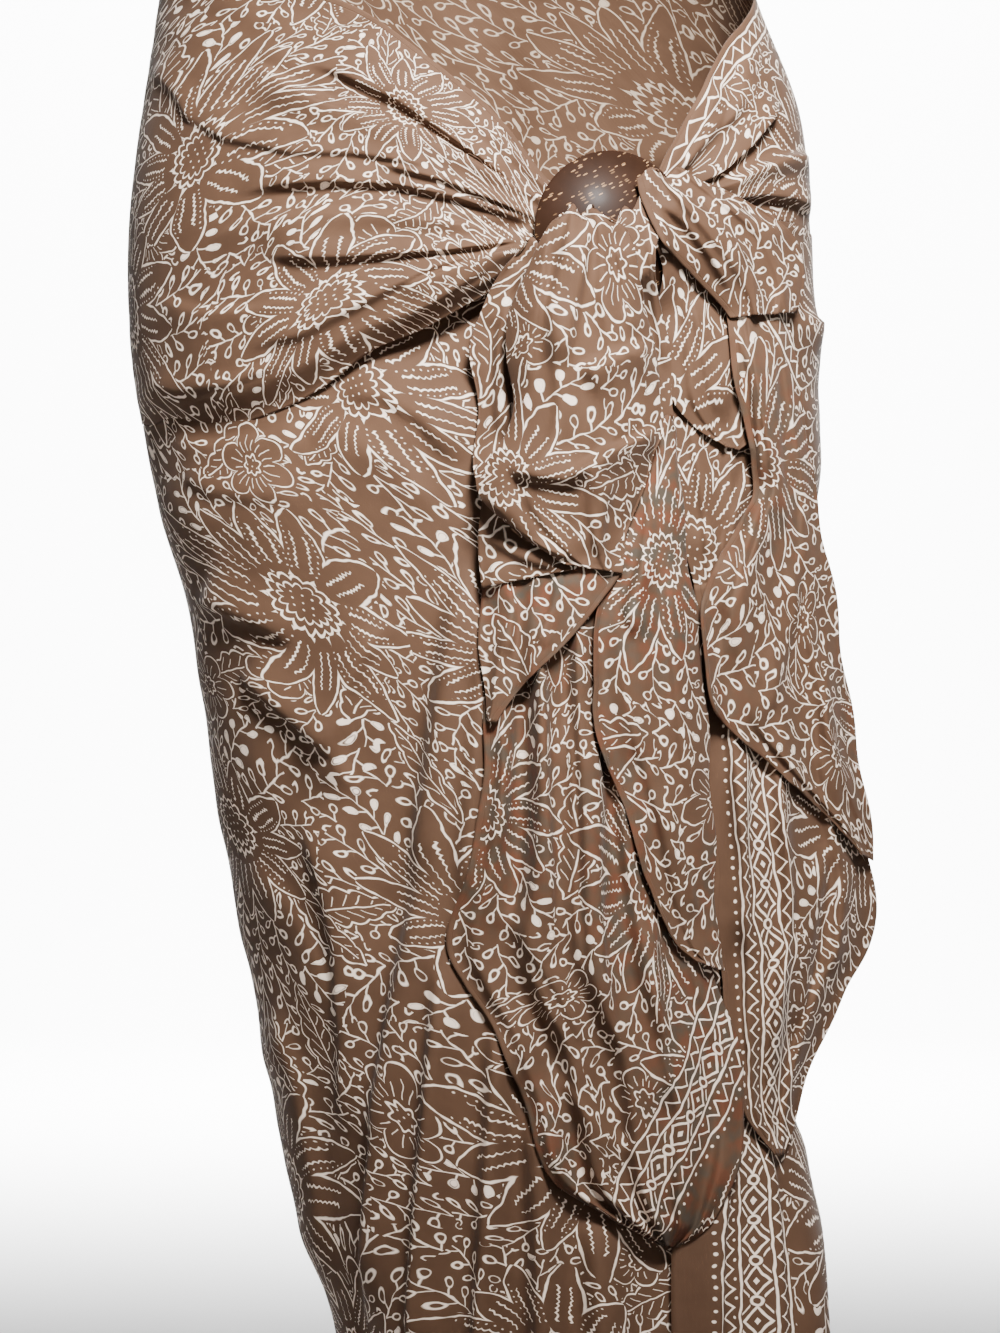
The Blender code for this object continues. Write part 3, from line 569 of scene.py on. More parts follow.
def line_distance(x, z, line):
    """The distance to a line of points, positive to its right, and the share along it."""
    near = np.full(x.shape, 1e9)
    side = np.zeros(x.shape)
    along = np.zeros(x.shape)
    lengths = [math.dist(start, end) for start, end in zip(line, line[1:])]
    total = sum(lengths)
    for index, ((x0, z0), (x1, z1)) in enumerate(zip(line, line[1:])):
        step_x, step_z = (x1 - x0) / lengths[index], (z1 - z0) / lengths[index]
        run = (x - x0) * step_x + (z - z0) * step_z
        held = np.clip(run, 0, lengths[index])
        away = np.hypot(x - x0 - held * step_x, z - z0 - held * step_z)
        closer = away < near
        near = np.where(closer, away, near)
        off = (x - x0) * step_z - (z - z0) * step_x
        side = np.where(closer, np.where(off > 0, 1.0, -1.0), side)
        along = np.where(closer, (sum(lengths[:index]) + held) / total, along)
    return near * side, along


def behind(turn, level):
    """A place out of the front view, in metres, from its turn and its height in millimetres."""
    return turn * SIDE_STEP, level / 1000


def crease_rise(table, x, z, place=seen, narrowing=0.0):
    """How far the listed creases lift the cloth. Each fades towards its two ends, and by narrowing, a
    share, it is narrower at its far end."""
    total = 0.0 * x
    for rise, right_width, left_width, points in table:
        away, along = line_distance(x, z, [place(*point) for point in points])
        width = np.where(away > 0, right_width, left_width) / 1000 * (1 - narrowing * along)
        fade = smooth_step(along / CREASE_FADE + CREASE_START)
        fade = fade * smooth_step((1 - along) / CREASE_FADE + CREASE_START)
        total = total + rise / 1000 * fade * np.exp(-((away / width) ** 2))
    return total


def wrinkles(x, z, seed, rise, coarse, fine):
    """Small uneven waves of slack cloth, the same on each run."""
    draw = np.random.default_rng(seed)
    total = 0.0 * x
    bend = 0.6 * np.sin(x / BEND_ACROSS + draw.uniform(0, 6))
    bend = bend + 0.5 * np.sin(z / BEND_DOWN + draw.uniform(0, 6))
    for _ in range(WAVES):
        turn = draw.uniform(-WAVE_TURN, WAVE_TURN)
        wave = draw.uniform(fine, coarse)
        run = (x * math.cos(turn) + z * math.sin(turn)) / wave * math.tau
        patch = np.sin(x / draw.uniform(*PATCH_ACROSS) + z / draw.uniform(*PATCH_DOWN))
        patch = 0.5 + 0.5 * patch
        total = total + patch * np.sin(run + WAVE_BEND * bend + draw.uniform(0, 6)) * wave / coarse
    return rise * total / WAVES_TOGETHER


def hem_height(turn):
    """The height of the hem, which waves a little round the cloth."""
    return HEM + HEM_WAVE * np.cos(np.radians(2 * turn + HEM_WAVE_TURN))


def fall_height(top, turn, down):
    """The height at a share of the way from a stretch's top edge down to the hem."""
    return top + (hem_height(turn) - top) * down


def band_heights(table, turn, down):
    """A stretch's upper and lower edge at each turn, and the height between them."""
    upper = column(table, BAND_COLUMNS, "upper", turn)
    lower = column(table, BAND_COLUMNS, "lower", turn)
    return upper, lower, upper + (lower - upper) * down


def plain_x(turn, height):
    """The x on the plain form, by which folds and creases are placed."""
    return on_form(turn, height, 0.0)[..., 0]


def laid(turn, height, lift, run, along):
    """A sheet's points on the form, and their places on the flat cloth."""
    return on_form(turn, height, lift), np.stack([run, along], axis=-1)


def lattice(rows, columns, row_power=1.0):
    """Row and column shares from 0 to 1 for a sheet's points."""
    down = np.linspace(0, 1, rows + 1)[:, None] ** row_power
    across = np.linspace(0, 1, columns + 1)[None, :]
    return down + 0 * across, across + 0 * down


def arc_from(turn, height, start_turn):
    """The length of plain form from a start turn to each turn, at each height."""
    steps = 60
    total = 0.0 * turn
    before = on_form(start_turn + 0 * turn, height, 0.0)
    for step in range(1, steps + 1):
        after = on_form(start_turn + (turn - start_turn) * step / steps, height, 0.0)
        total = total + np.linalg.norm(after - before, axis=-1)
        before = after
    return total


def right_side_run(height):
    """How far the cloth has run from its end edge when it reaches the right side."""
    return arc_from(SIDE_TURN + 0 * height, height, turn_at(END_EDGE, height))


def left_side_run(height):
    """How far it has run when it has gone round the back to the left side."""
    around = arc_from(360 - SIDE_TURN + 0 * height, height, SIDE_TURN)
    return right_side_run(height) + around


# These five functions give the points of the stretches round the hips, and the places of those
# points on the flat cloth
def back_fall_points(rows, columns):
    down, across = lattice(rows, columns, BACK_FALL_ROWS)
    turn = SIDE_TURN + across * (360 - 2 * SIDE_TURN)
    top = column(BACK_TOP, BACK_TOP_COLUMNS, "upper", turn)
    height = fall_height(top, turn, down)
    side_fade = np.sin(np.pi * across) ** 0.5
    lift = fold_rise(BACK_FALL_FOLDS, plain_x(turn, height), height) * side_fade
    side = turn * SIDE_STEP
    creases = crease_rise(BACK_FALL_CREASES, side, height, place=behind)
    lift = lift + (creases + wrinkles(side, height, *BACK_FALL_SLACK)) * side_fade
    run = right_side_run(height) + arc_from(turn, height, SIDE_TURN)
    return laid(turn, height, lift, run, top - height)


def left_band_points(rows, columns):
    down, across = lattice(rows, columns)
    start, end = -SIDE_TURN + SIDE_SEAM, LEFT_BAND[-1][0]
    along = 1 - (1 - across) ** LEFT_BAND_PACE
    turn = start + (end - start) * along
    upper, lower, height = band_heights(LEFT_BAND, turn, down)
    curl = smooth_step((down - LIP_START) / (1 - LIP_START)) * smooth_step(along / LIP_ALONG)
    curl = curl * np.minimum(LIP_CURL, LIP_CURL_SHARE * (upper - lower))
    x = plain_x(turn, height)
    near_side = smooth_step(across / BAND_FADE)
    near_ring = smooth_step((1 - along) / BAND_FADE)
    creases = crease_rise(LEFT_BAND_CREASES, x, height, narrowing=LEFT_NARROWING) * near_side
    slack = wrinkles(x, height * BAND_SLACK_DRAWN, *LEFT_BAND_SLACK) * near_side * near_ring
    lift = ridge_rise(LEFT_BAND_RIDGES, along, down) - curl + creases + slack
    run = left_side_run(height) + arc_from(turn, height, start)
    gathered = LEFT_GATHERED * smooth_step((along - LEFT_GATHER_START) / LEFT_GATHER_RUN)
    return laid(turn, height, lift, run, down * ((upper - lower) * (1 + gathered)))


def left_fall_points(rows, columns):
    down, across = lattice(rows, columns, LEFT_FALL_ROWS)
    start, end = -SIDE_TURN + SIDE_SEAM, UNDER_END_TURN
    turn = start + (end - start) * across
    lip = column(LEFT_BAND, BAND_COLUMNS, "lower", turn)
    top = lip + column(TUCK, TUCK_COLUMNS, "climb", turn)
    height = fall_height(top, turn, down)
    x = plain_x(turn, height)
    under = smooth_step((x - OVERLAP_START) / (OVERLAP_FULL - OVERLAP_START))
    side_fade = smooth_step(across / LEFT_FALL_FADE)
    tuck = column(TUCK, TUCK_COLUMNS, "inset", turn) * (1 - smooth_step((lip - height) / TUCK_FADE))
    lift = fold_rise(LEFT_FALL_FOLDS, x, height)
    lift = lift + crease_rise(LEFT_FALL_CREASES, x, height)
    lift = lift + wrinkles(x, height, *LEFT_FALL_SLACK) * smooth_step((lip - height) / LIP_FADE)
    lift = lift * (1 - under) * side_fade - tuck
    lift = np.minimum(lift, (1 - under) * lift - under * OVERLAP_INSET)
    run = left_side_run(height) + arc_from(turn, height, start)
    return laid(turn, height, lift, run, LEFT_BAND[0][1] - height)


def right_band_points(rows, columns):
    down, across = lattice(rows, columns)
    start, end = RIGHT_BAND[0][0], SIDE_TURN - SIDE_SEAM
    along = across**RIGHT_BAND_PACE
    turn = start + (end - start) * along
    upper, lower, height = band_heights(RIGHT_BAND, turn, down)
    x = plain_x(turn, height)
    side_fade = smooth_step((1 - across) / BAND_FADE)
    creases = crease_rise(RIGHT_BAND_CREASES, x, height, narrowing=RIGHT_NARROWING) * side_fade
    lift = ridge_rise(RIGHT_BAND_RIDGES, 1 - along, down) + creases
    run = BORDER_SHOWN + down * (upper - lower) * (1 + RIGHT_GATHERED * (1 - along) ** 2)
    return laid(turn, height, lift, run, arc_from(turn, height, start) + RIGHT_BAND_ALONG)


def right_fall_points(rows, columns):
    down, across = lattice(rows, columns, RIGHT_FALL_ROWS)
    start, end = turn_at(END_EDGE, RIGHT_BAND[0][2]), SIDE_TURN - SIDE_SEAM
    turn = start + (end - start) * across
    top = column(RIGHT_BAND, BAND_COLUMNS, "lower", turn) - 3 * GAP
    height = fall_height(top, turn, down)
    start = turn_at(END_EDGE, height)
    turn = start + (end - start) * across
    x = plain_x(turn, height)
    side_fade = smooth_step((1 - across) / RIGHT_FALL_FADE)
    lift = fold_rise(RIGHT_FALL_FOLDS, x, height) + crease_rise(RIGHT_FALL_CREASES, x, height)
    lift = lift + wrinkles(x, height, *RIGHT_FALL_SLACK)
    run = arc_from(turn, height, start)
    return laid(turn, height, lift * side_fade, run, BACK_TOP[0][1] - height)


def new_object(name, data):
    """A new object of this data, linked to the scene."""
    made = bpy.data.objects.new(name, data)
    bpy.context.scene.collection.objects.link(made)
    return made


def point_numbers(mesh, name, numbers):
    """A number on each of a mesh's points, for its material to read."""
    mesh.attributes.new(name, "FLOAT", "POINT").data.foreach_set("value", numbers)


def lengths_along(points, axis):
    """How far each point of a sheet lies from the first one, along its row or column."""
    steps = np.linalg.norm(np.diff(points, axis=axis), axis=-1)
    none = 0.0 * np.take(steps, [0], axis=axis)
    return np.concatenate([none, np.cumsum(steps, axis=axis)], axis=axis)


class Pile:
    """The outer skins built so far, to lay the next piece of cloth over."""

    def __init__(self):
        self.skins = []

    def add(self, vertices, faces):
        self.skins.append(Skin(vertices, faces))

    def front(self, x, height):
        """The foremost y that any skin has at a place seen from the front."""
        return min(skin.front(x, height) for skin in self.skins)

    def clearance(self, sheet_skin):
        """The least distance between a sheet's skin and the skins of the pile."""
        return min(skin.distance(sheet_skin) for skin in self.skins)


class Skin:
    """One outer face, with its search tree."""

    def __init__(self, vertices, faces):
        self.vertices = np.array([tuple(vertex) for vertex in vertices])
        self.tree = BVHTree.FromPolygons([Vector(vertex) for vertex in vertices], faces)
        self.low = self.vertices.min(axis=0) - NEARBY
        self.high = self.vertices.max(axis=0) + NEARBY

    def front(self, x, height):
        if not (self.low[0] < x < self.high[0] and self.low[2] < height < self.high[2]):
            return 1.0
        hit = self.tree.ray_cast(Vector((x, -1.0, height)), Vector((0.0, 1.0, 0.0)))[0]
        return 1.0 if hit is None else hit.y

    def distance(self, other):
        """The least distance from another skin's points to this one."""
        inside = ((other.vertices > self.low) & (other.vertices < self.high)).all(axis=1)
        found = NEARBY
        for vertex in other.vertices[inside][::3]:
            found = min(found, self.tree.find_nearest(Vector(vertex))[3])
        return found


def crown_shape(across, power):
    """1 in the middle and 0 at both edges. A small power makes the edges roll under."""
    share = 2 * across - 1
    return np.clip(1 - share * share, 0.0, 1.0) ** power


def sheet_normals(points):
    """The outward direction at each point of a sheet."""
    normal = np.cross(np.gradient(points, axis=0), np.gradient(points, axis=1))
    return normal / np.maximum(np.linalg.norm(normal, axis=-1, keepdims=True), 1e-12)


def settle(points, pile):
    """Moves a sheet straight back or forward until it just clears what it lies on."""
    faces = grid_faces(points.shape[0] - 1, points.shape[1] - 1)
    for _ in range(SETTLE_STEPS):
        inner = points - CLOTH_THICK * sheet_normals(points)
        skin = Skin(inner.reshape(-1, 3), faces)
        points[..., 1] += pile.clearance(skin) - REST_GAP
    return points


def lay_over(x, y, z, pile):
    """Moves a sheet forward until it clears the pile, and keeps it smooth there."""
    steps = [(0.0, 0.0)]
    for step in range(CLEAR_DIRECTIONS):
        angle = math.tau * step / CLEAR_DIRECTIONS
        steps.append((math.cos(angle), math.sin(angle)))
        steps.append((0.5 * math.cos(angle), 0.5 * math.sin(angle)))
    rest = np.empty_like(y)
    for place in np.ndindex(y.shape):
        fronts = [
            pile.front(x[place] + dx * CLEAR_LEAST, z[place] + dz * CLEAR_LEAST)
            for dx, dz in steps
        ]
        rest[place] = min(fronts) - WALL - GAP
    y = np.minimum(y, rest)
    for _ in range(SMOOTH_STEPS):
        padded = np.pad(y, 1, mode="edge")
        around_mean = padded[:-2, 1:-1] + padded[2:, 1:-1] + padded[1:-1, :-2] + padded[1:-1, 2:]
        y = np.minimum(y, 0.5 * y + 0.125 * around_mean)
    return y - WALL * steepness(x, y, z)


def steepness(x, y, z):
    """How much more of the wall a steep place has along y, as a share of the wall."""
    along = np.abs(sheet_normals(np.stack([x, y, z], axis=-1))[..., 1])
    return np.minimum(1 / np.maximum(along, STEEP_LEAST) - 1, STEEP_MOST)


def tail_points(table, rows, columns, power, creases, fine_creases, seed, pile):
    """A tail piece's points, laid over everything beneath it."""
    data = np.array(table) / 1000
    knots = np.arange(len(table), dtype=float)
    down, across = lattice(rows, columns)
    if power < ROLLED_POWER:
        across = 0.5 - 0.5 * np.cos(np.pi * across)
    at = down * (len(table) - 1)
    read = {name: curve(at, knots, data[:, i]) for i, name in enumerate(TAIL_COLUMNS)}
    x = read["left_x"] + (read["right_x"] - read["left_x"]) * across
    z = read["left_z"] + (read["right_z"] - read["left_z"]) * across
    out = read["left_out"] + (read["right_out"] - read["left_out"]) * across
    out = out + read["crown"] * crown_shape(across, power)
    z = z + TOP_HUMP * np.sin(2 * np.pi * across) ** 2 * (1 - down) ** 6
    x = x + EDGE_WAVER * np.sin(z / WAVER_LENGTH + seed + 3 * across) * (2 * across - 1) ** 2
    y = lay_over(x, front_of_form(x, z) - out, z, pile)
    narrow = np.minimum((read["right_x"] - read["left_x"]) / FULL_WIDTH, 1.0)
    for top_share, end_share, rise, width in creases:
        line = top_share + (end_share - top_share) * down + PLEAT_SWAY * np.sin(3 * down + seed)
        share = (across - line) / np.where(across > line, width, PLEAT_STEEP * width)
        y = y - rise * narrow * np.exp(-(share**2))
    y = y - crease_rise(fine_creases, x, z) - wrinkles(x, z, seed, *TAIL_SLACK)
    return settle(np.stack([x, y, z], axis=-1), pile)


def grid_faces(rows, columns):
    """The faces of a sheet, as corner numbers."""
    wide = columns + 1
    faces = []
    for row in range(rows):
        for place in range(columns):
            corner = row * wide + place
            faces.append((corner, corner + wide, corner + wide + 1, corner + 1))
    return faces


# The print and the shell. Lengths inside the print are in millimetres of flat cloth
PRINT_BROWN = (0.070, 0.036, 0.0205, 1.0)
PRINT_BROWN_WORN = (0.108, 0.057, 0.033, 1.0)
PRINT_LINE = (0.92, 0.75, 0.61, 1.0)
REVERSE_BROWN = (0.135, 0.074, 0.044, 1.0)
REVERSE_LINE = (0.50, 0.38, 0.28, 1.0)
FACE_COLOURS = (PRINT_BROWN, PRINT_BROWN_WORN, PRINT_LINE)
REVERSE_COLOURS = (PRINT_BROWN, REVERSE_BROWN, REVERSE_LINE)
FACE_ROUGHNESS = 0.72
REVERSE_ROUGHNESS = 0.78
PRINT_RUST = (0.150, 0.040, 0.018, 1.0)
PRINT_TEAL = (0.040, 0.052, 0.044, 1.0)
SHELL_DARK = (0.009, 0.0040, 0.0021, 1.0)
SHELL_BROWN = (0.034, 0.0145, 0.0075, 1.0)
SHELL_FLECK = (0.30, 0.17, 0.085, 1.0)
FLECK_LEAN = 28
FLECK_SIZE = (0.0038, 0.00095, 0.0038)
PRINT_FINE = 1.02
LINE_SOFT = 0.36
LINE_THIN = 0.72
BORDER_WIDE = 59.5
HEM_WIDE = 3.0
HEM_PLAIN = 3.2
WANDER = 30
SHAKE = 2.6
STEADY_SHAKE = 2.4
BLOT = 0.9
TINT_REACH = 75
TINT_FADE = 40

# Cells that the print's motifs are scattered in: spacing, unevenness and shift
DAISY_CELLS = (130.0, 0.55, 37.0)
FLOWER_CELLS = (104.0, 0.75, 411.0)
LEAF_CELLS = (58.0, 0.80, 905.0)


def math_method(operation):
    """A method that adds a Math node, with the amount itself as its first term."""

    def method(self, *terms):
        return maths(self.tree, operation, self, *terms)

    return method


class Amount:
    """A number that changes over the cloth: one output of a shader node. Arithmetic with it
    adds Math nodes."""

    __add__ = __radd__ = math_method("ADD")
    __sub__ = math_method("SUBTRACT")
    __mul__ = __rmul__ = math_method("MULTIPLY")
    __truediv__ = math_method("DIVIDE")
    __abs__ = math_method("ABSOLUTE")
    sine = math_method("SINE")
    cosine = math_method("COSINE")
    power = math_method("POWER")
    nearest_whole = math_method("ROUND")
    over = math_method("GREATER_THAN")
    under = math_method("LESS_THAN")
    least = math_method("MINIMUM")
    most = math_method("MAXIMUM")

    def __init__(self, tree, socket):
        self.tree = tree
        self.socket = socket

    def __rsub__(self, other):
        return maths(self.tree, "SUBTRACT", other, self)

    def clipped(self):
        """This amount, held between 0 and 1."""
        return maths(self.tree, "ADD", self, 0.0, clamp=True)

    def repeat(self, pitch):
        """The place within a repeat of this pitch, from minus half to plus half of it."""
        return maths(self.tree, "WRAP", self, pitch / 2, -pitch / 2)

    def line(self, half_width):
        """Ink where this distance is under a half width, with a soft edge."""
        middle_ink = half_width * LINE_THIN / LINE_SOFT + 0.5
        return maths(self.tree, "MULTIPLY_ADD", self, -1 / LINE_SOFT, middle_ink, clamp=True)


def maths(tree, operation, *terms, clamp=False):
    node = tree.nodes.new("ShaderNodeMath")
    node.operation = operation
    node.use_clamp = clamp
    for socket, term in zip(node.inputs, terms):
        if isinstance(term, Amount):
            tree.links.new(term.socket, socket)
        else:
            socket.default_value = term
    return Amount(tree, node.outputs[0])


def distance(x, y):
    return (x * x + y * y).power(0.5)


def bearing(x, y):
    return maths(x.tree, "ARCTAN2", y, x)


def covered(under, over, cover):
    """One layer's ink laid over another's, where cover is 1."""
    return under * (1 - cover) + over * cover


def feed(tree, node, inputs):
    """Gives a node's inputs plain values, or links them to amounts and other nodes' outputs."""
    for name, value in inputs.items():
        source = value.socket if isinstance(value, Amount) else value
        if isinstance(source, bpy.types.NodeSocket):
            tree.links.new(source, node.inputs[name])
        else:
            node.inputs[name].default_value = source


def shader_node(tree, kind, inputs, **settings):
    """The outputs of a new shader node with these settings and inputs."""
    node = tree.nodes.new("ShaderNode" + kind)
    for name, value in settings.items():
        setattr(node, name, value)
    feed(tree, node, inputs)
    return node.outputs


def noise(tree, place, scale, detail, dimensions="2D"):
    """The outputs of a noise texture."""
    inputs = {"Vector": place, "Scale": scale, "Detail": detail}
    return shader_node(tree, "TexNoise", inputs, noise_dimensions=dimensions)


def mixed(tree, factor, first, second):
    """A mix of two colours."""
    inputs = {"Factor": factor, "A": first, "B": second}
    return shader_node(tree, "Mix", inputs, data_type="RGBA")["Result"]


def split(tree, socket):
    """The three amounts of a vector or a colour."""
    node = tree.nodes.new("ShaderNodeSeparateXYZ")
    tree.links.new(socket, node.inputs[0])
    return [Amount(tree, output) for output in node.outputs]


def joined(x, y):
    return shader_node(x.tree, "CombineXYZ", {"X": x, "Y": y})[0]


def scattered(x, y, spacing, uneven, shift):
    """Places scattered over the cloth, one to a cell: where this point lies from the nearest,
    turned by that cell's own angle, then two numbers from 0 to 1 that belong to the cell."""
    x, y = x + shift, y - shift
    inputs = {"Vector": joined(x, y), "Scale": 1 / spacing, "Randomness": uneven}
    cells = shader_node(x.tree, "TexVoronoi", inputs, voronoi_dimensions="2D")
    middle_x, middle_y, _ = split(x.tree, cells["Position"])
    first, second, _ = split(x.tree, cells["Color"])
    off_x, off_y = x - middle_x, y - middle_y
    turn = first * math.tau
    sine, cosine = turn.sine(), turn.cosine()
    return off_x * cosine - off_y * sine, off_x * sine + off_y * cosine, first, second


def daisy(x, y, first, second, blot):
    """A large daisy: twelve pointed petals round a disc of seeds. Returns its ink, the place
    it covers, the distance from its middle and the bearing there."""
    petals = 12
    middle = 14.0
    away, turn = distance(x, y), bearing(x, y)
    petal_turn = (turn * (petals / math.tau)).nearest_whole() * (math.tau / petals)
    wave, ripple = (petal_turn * 3 + first * 6).sine(), (petal_turn * 7 + second * 9).sine()
    tip = wave * 5.0 + ripple * 3.5 + (second * 9 + 52)
    share = ((away - middle) / (tip - middle)).most(0.0).least(1.0)
    across = abs(turn - petal_turn) * away
    half = (share.power(0.8) * (1 - share) * 3.7).power(0.75) * 7.6 + 0.5
    edge = across - half
    outline = (abs(edge) + blot).line(0.66)
    jag = abs((away * 1.1).sine()) * 1.1
    vein = (abs(across - half * 0.42 + jag * 0.8) + blot).line(0.46)
    vein = vein * share.over(0.18) * share.under(0.66)
    dots = distance(across - half * 0.72, away.repeat(3.1)).line(0.46)
    dots = dots * share.over(0.16) * share.under(0.76)
    dotted = (petal_turn * 5 + first * 20).sine().over(0.0)
    inner = vein.most(dots * dotted) * edge.under(-1.4)
    petal_ink = outline.most(inner)
    on_disc = away.under(middle + 1.8)
    scribble = abs((turn * 8).sine()) * 2.6
    rim = (abs(away - (middle - 1.2) - scribble) + blot).line(1.0)
    coil = (abs(away - middle * 0.60 - abs((turn * 7).sine()) * 2.4) + blot).line(0.6)
    seeds = distance(x.repeat(4.0), y.repeat(4.0)).line(0.6) * away.under(middle * 0.52)
    disc_ink = rim.most(coil).most(seeds)
    ink = covered(petal_ink, disc_ink, on_disc)
    cover = on_disc.most(edge.under(1.6) * share.under(0.999) * share.over(0.001))
    return ink, cover, away, turn


def small_flower(x, y, second, blot):
    """A flower of six round petals with a scalloped middle. Returns its ink and its cover."""
    away, turn = distance(x, y), bearing(x, y)
    size = second * 8 + 16
    lobes = abs((turn * 3).cosine()).power(0.7)
    rim = size * (lobes * 0.42 + 0.58)
    outline = (abs(away - rim) + blot).line(0.58)
    stroke = abs((turn * 9).sine() * away * 0.16).line(0.34)
    stroke = stroke * away.over(7.5) * (away - rim * 0.72).under(0.0)
    middle = (abs(away - 5.0 - (turn * 7).sine() * 0.8) + blot).line(0.62)
    seed = distance(x.repeat(3.2), y.repeat(3.2)).line(0.5) * away.under(3.6)
    ink = outline.most(stroke).most(middle).most(seed)
    return ink, (away - rim).under(1.7)


def leaf(x, y, second, blot):
    """A pointed leaf with a notched edge, a midrib and side veins. Returns its ink and cover."""
    length = second * 11 + 19
    share = (x / length).most(-1.0).least(1.0)
    notch = abs((x * 0.36).sine()) * 0.24 + 0.84
    half = (1 - share * share).power(0.9) * notch * 9.0
    height = abs(y)
    edge = height - half
    outline = (abs(edge) + blot).line(0.54)
    midrib = height.line(0.42) * abs(share).under(0.84)
    veins = abs((x - height * 1.1).repeat(6.4)).line(0.36) * edge.under(-2.2) * height.over(1.4)
    cover = edge.under(1.6) * abs(share).under(0.999)
    return outline.most(midrib).most(veins), cover


def sprays(away, turn, first, blot):
    """Stems that run outward round a flower, with a teardrop bud on every side shoot."""
    stems = away.over(72.0) * 10 + 18
    pitch = 8.8
    lean = 1.05
    bowed = turn + (away * 0.05 + first * 9).sine() * 0.13
    stem_turn = (bowed * stems / math.tau).nearest_whole() * math.tau / stems
    across = (bowed - stem_turn) * away
    side = across.over(0.0)
    along = (away + side * (pitch * 0.45)).repeat(pitch) + 2.6
    height = abs(across)
    reach_out = along * math.cos(lean) + height * math.sin(lean)
    off = height * math.cos(lean) - along * math.sin(lean) + reach_out * 0.12
    stem = (height + blot).line(0.42)
    shoot = abs(off).line(0.38) * reach_out.under(4.9) * reach_out.over(0.0)
    bud = distance((reach_out - 7.2) * 0.56, off * (1.34 - reach_out * 0.045))
    filled = (stem_turn * 7 + first * 20).sine().over(0.86)
    bud_ring = (abs(bud - 1.42) + blot).line(0.42)
    return stem.most(shoot).most(bud_ring).most((bud + blot).line(1.6) * filled)


def end_border(run, along):
    """The woven end's border, from the hem inward: dots, a zigzag, diamonds with rings between
    them, then a second zigzag, all between ruled lines."""
    dots = distance(run - 16.6, along.repeat(5.2)).line(1.1)
    zigzag = (abs(along.repeat(9.2)) - 2.3) * 1.25
    zigzags = abs(run - 25.6 - zigzag).line(0.9).most(abs(run - 53.0 - zigzag).line(0.9))
    zigzag_dots = distance(run - 28.8, along.repeat(9.2)).line(0.95)
    rules = abs(run - 20.2).line(0.85)
    for place in (31.6, 48.2, 58.0):
        rules = rules.most(abs(run - place).line(0.85))
    level = abs(run - 39.9)
    cell = abs(along.repeat(19.0))
    diamond = cell * 0.92 + level
    diamonds = abs(diamond - 6.2).line(1.1).most(diamond.line(2.3))
    chevrons = abs(diamond - 10.4).line(0.75) * level.over(3.6) * level.under(7.0)
    between = (along + 9.5).repeat(19.0)
    rings = abs(distance(between * 1.1, level * 0.8) - 2.2).line(0.85)
    ink = dots.most(zigzags).most(zigzag_dots).most(rules)
    return ink.most(diamonds).most(chevrons).most(rings)


def flat_group(name, outputs):
    """A node group that works from a place on the flat cloth and the distance to its hem. It
    comes with the place in metres and the distance in millimetres."""
    tree = bpy.data.node_groups.new(name, "ShaderNodeTree")
    tree.interface.new_socket("Place", in_out="INPUT", socket_type="NodeSocketVector")
    tree.interface.new_socket("Hem", in_out="INPUT", socket_type="NodeSocketFloat")
    for output in outputs:
        tree.interface.new_socket(output, in_out="OUTPUT", socket_type="NodeSocketFloat")
    given = tree.nodes.new("NodeGroupInput")
    run, along, _ = split(tree, given.outputs["Place"])
    return tree, run, along, Amount(tree, given.outputs["Hem"]) * 1000


def print_group():
    """The batik print: where the wax lines are, from a place on the flat cloth."""
    tree, run, along, hem = flat_group("batik print", ("Lines", "Mottle", "Rust", "Teal"))
    run, along = run * 1000, along * 1000
    wander = noise(tree, joined(run, along), 0.013, 1.0)
    wander_x, wander_y, mottle = split(tree, wander["Color"])
    shake = noise(tree, joined(run, along), 0.11, 1.5)
    shake_x, shake_y, shade = split(tree, shake["Color"])
    blot = (0.50 - shade) * BLOT
    x = (run + (wander_x - 0.5) * WANDER + (shake_x - 0.5) * SHAKE) * PRINT_FINE
    y = (along + (wander_y - 0.5) * WANDER + (shake_y - 0.5) * SHAKE) * PRINT_FINE
    daisy_x, daisy_y, daisy_luck, daisy_size = scattered(x, y, *DAISY_CELLS)
    daisy_ink, daisy_cover, away, turn = daisy(daisy_x, daisy_y, daisy_luck, daisy_size, blot)
    flower_x, flower_y, _, flower_luck = scattered(x, y, *FLOWER_CELLS)
    flower_ink, flower_cover = small_flower(flower_x, flower_y, flower_luck, blot)
    leaf_x, leaf_y, _, leaf_luck = scattered(x, y, *LEAF_CELLS)
    leaf_ink, leaf_cover = leaf(leaf_x, leaf_y, leaf_luck, blot)
    ink = sprays(away, turn, daisy_luck, blot)
    ink = covered(ink, leaf_ink, leaf_cover * leaf_luck.over(0.42))
    ink = covered(ink, flower_ink, flower_cover)
    ink = covered(ink, daisy_ink, daisy_cover)
    steady_run = run + (shake_x - 0.5) * STEADY_SHAKE
    steady_along = along + (shake_y - 0.5) * STEADY_SHAKE
    in_border = run.under(BORDER_WIDE) * run.over(-0.5)
    ink = covered(ink, end_border(steady_run, steady_along), in_border)
    near_daisy = ((TINT_REACH - away) / TINT_FADE).clipped()
    results = {
        "Lines": ink * hem.over(HEM_PLAIN),
        "Mottle": mottle * 0.6 + shade * 0.4,
        "Rust": near_daisy * ((shake_x - 0.5) * 6).clipped(),
        "Teal": near_daisy * ((0.5 - shake_x) * 6).clipped(),
    }
    feed(tree, tree.nodes.new("NodeGroupOutput"), results)
    return tree


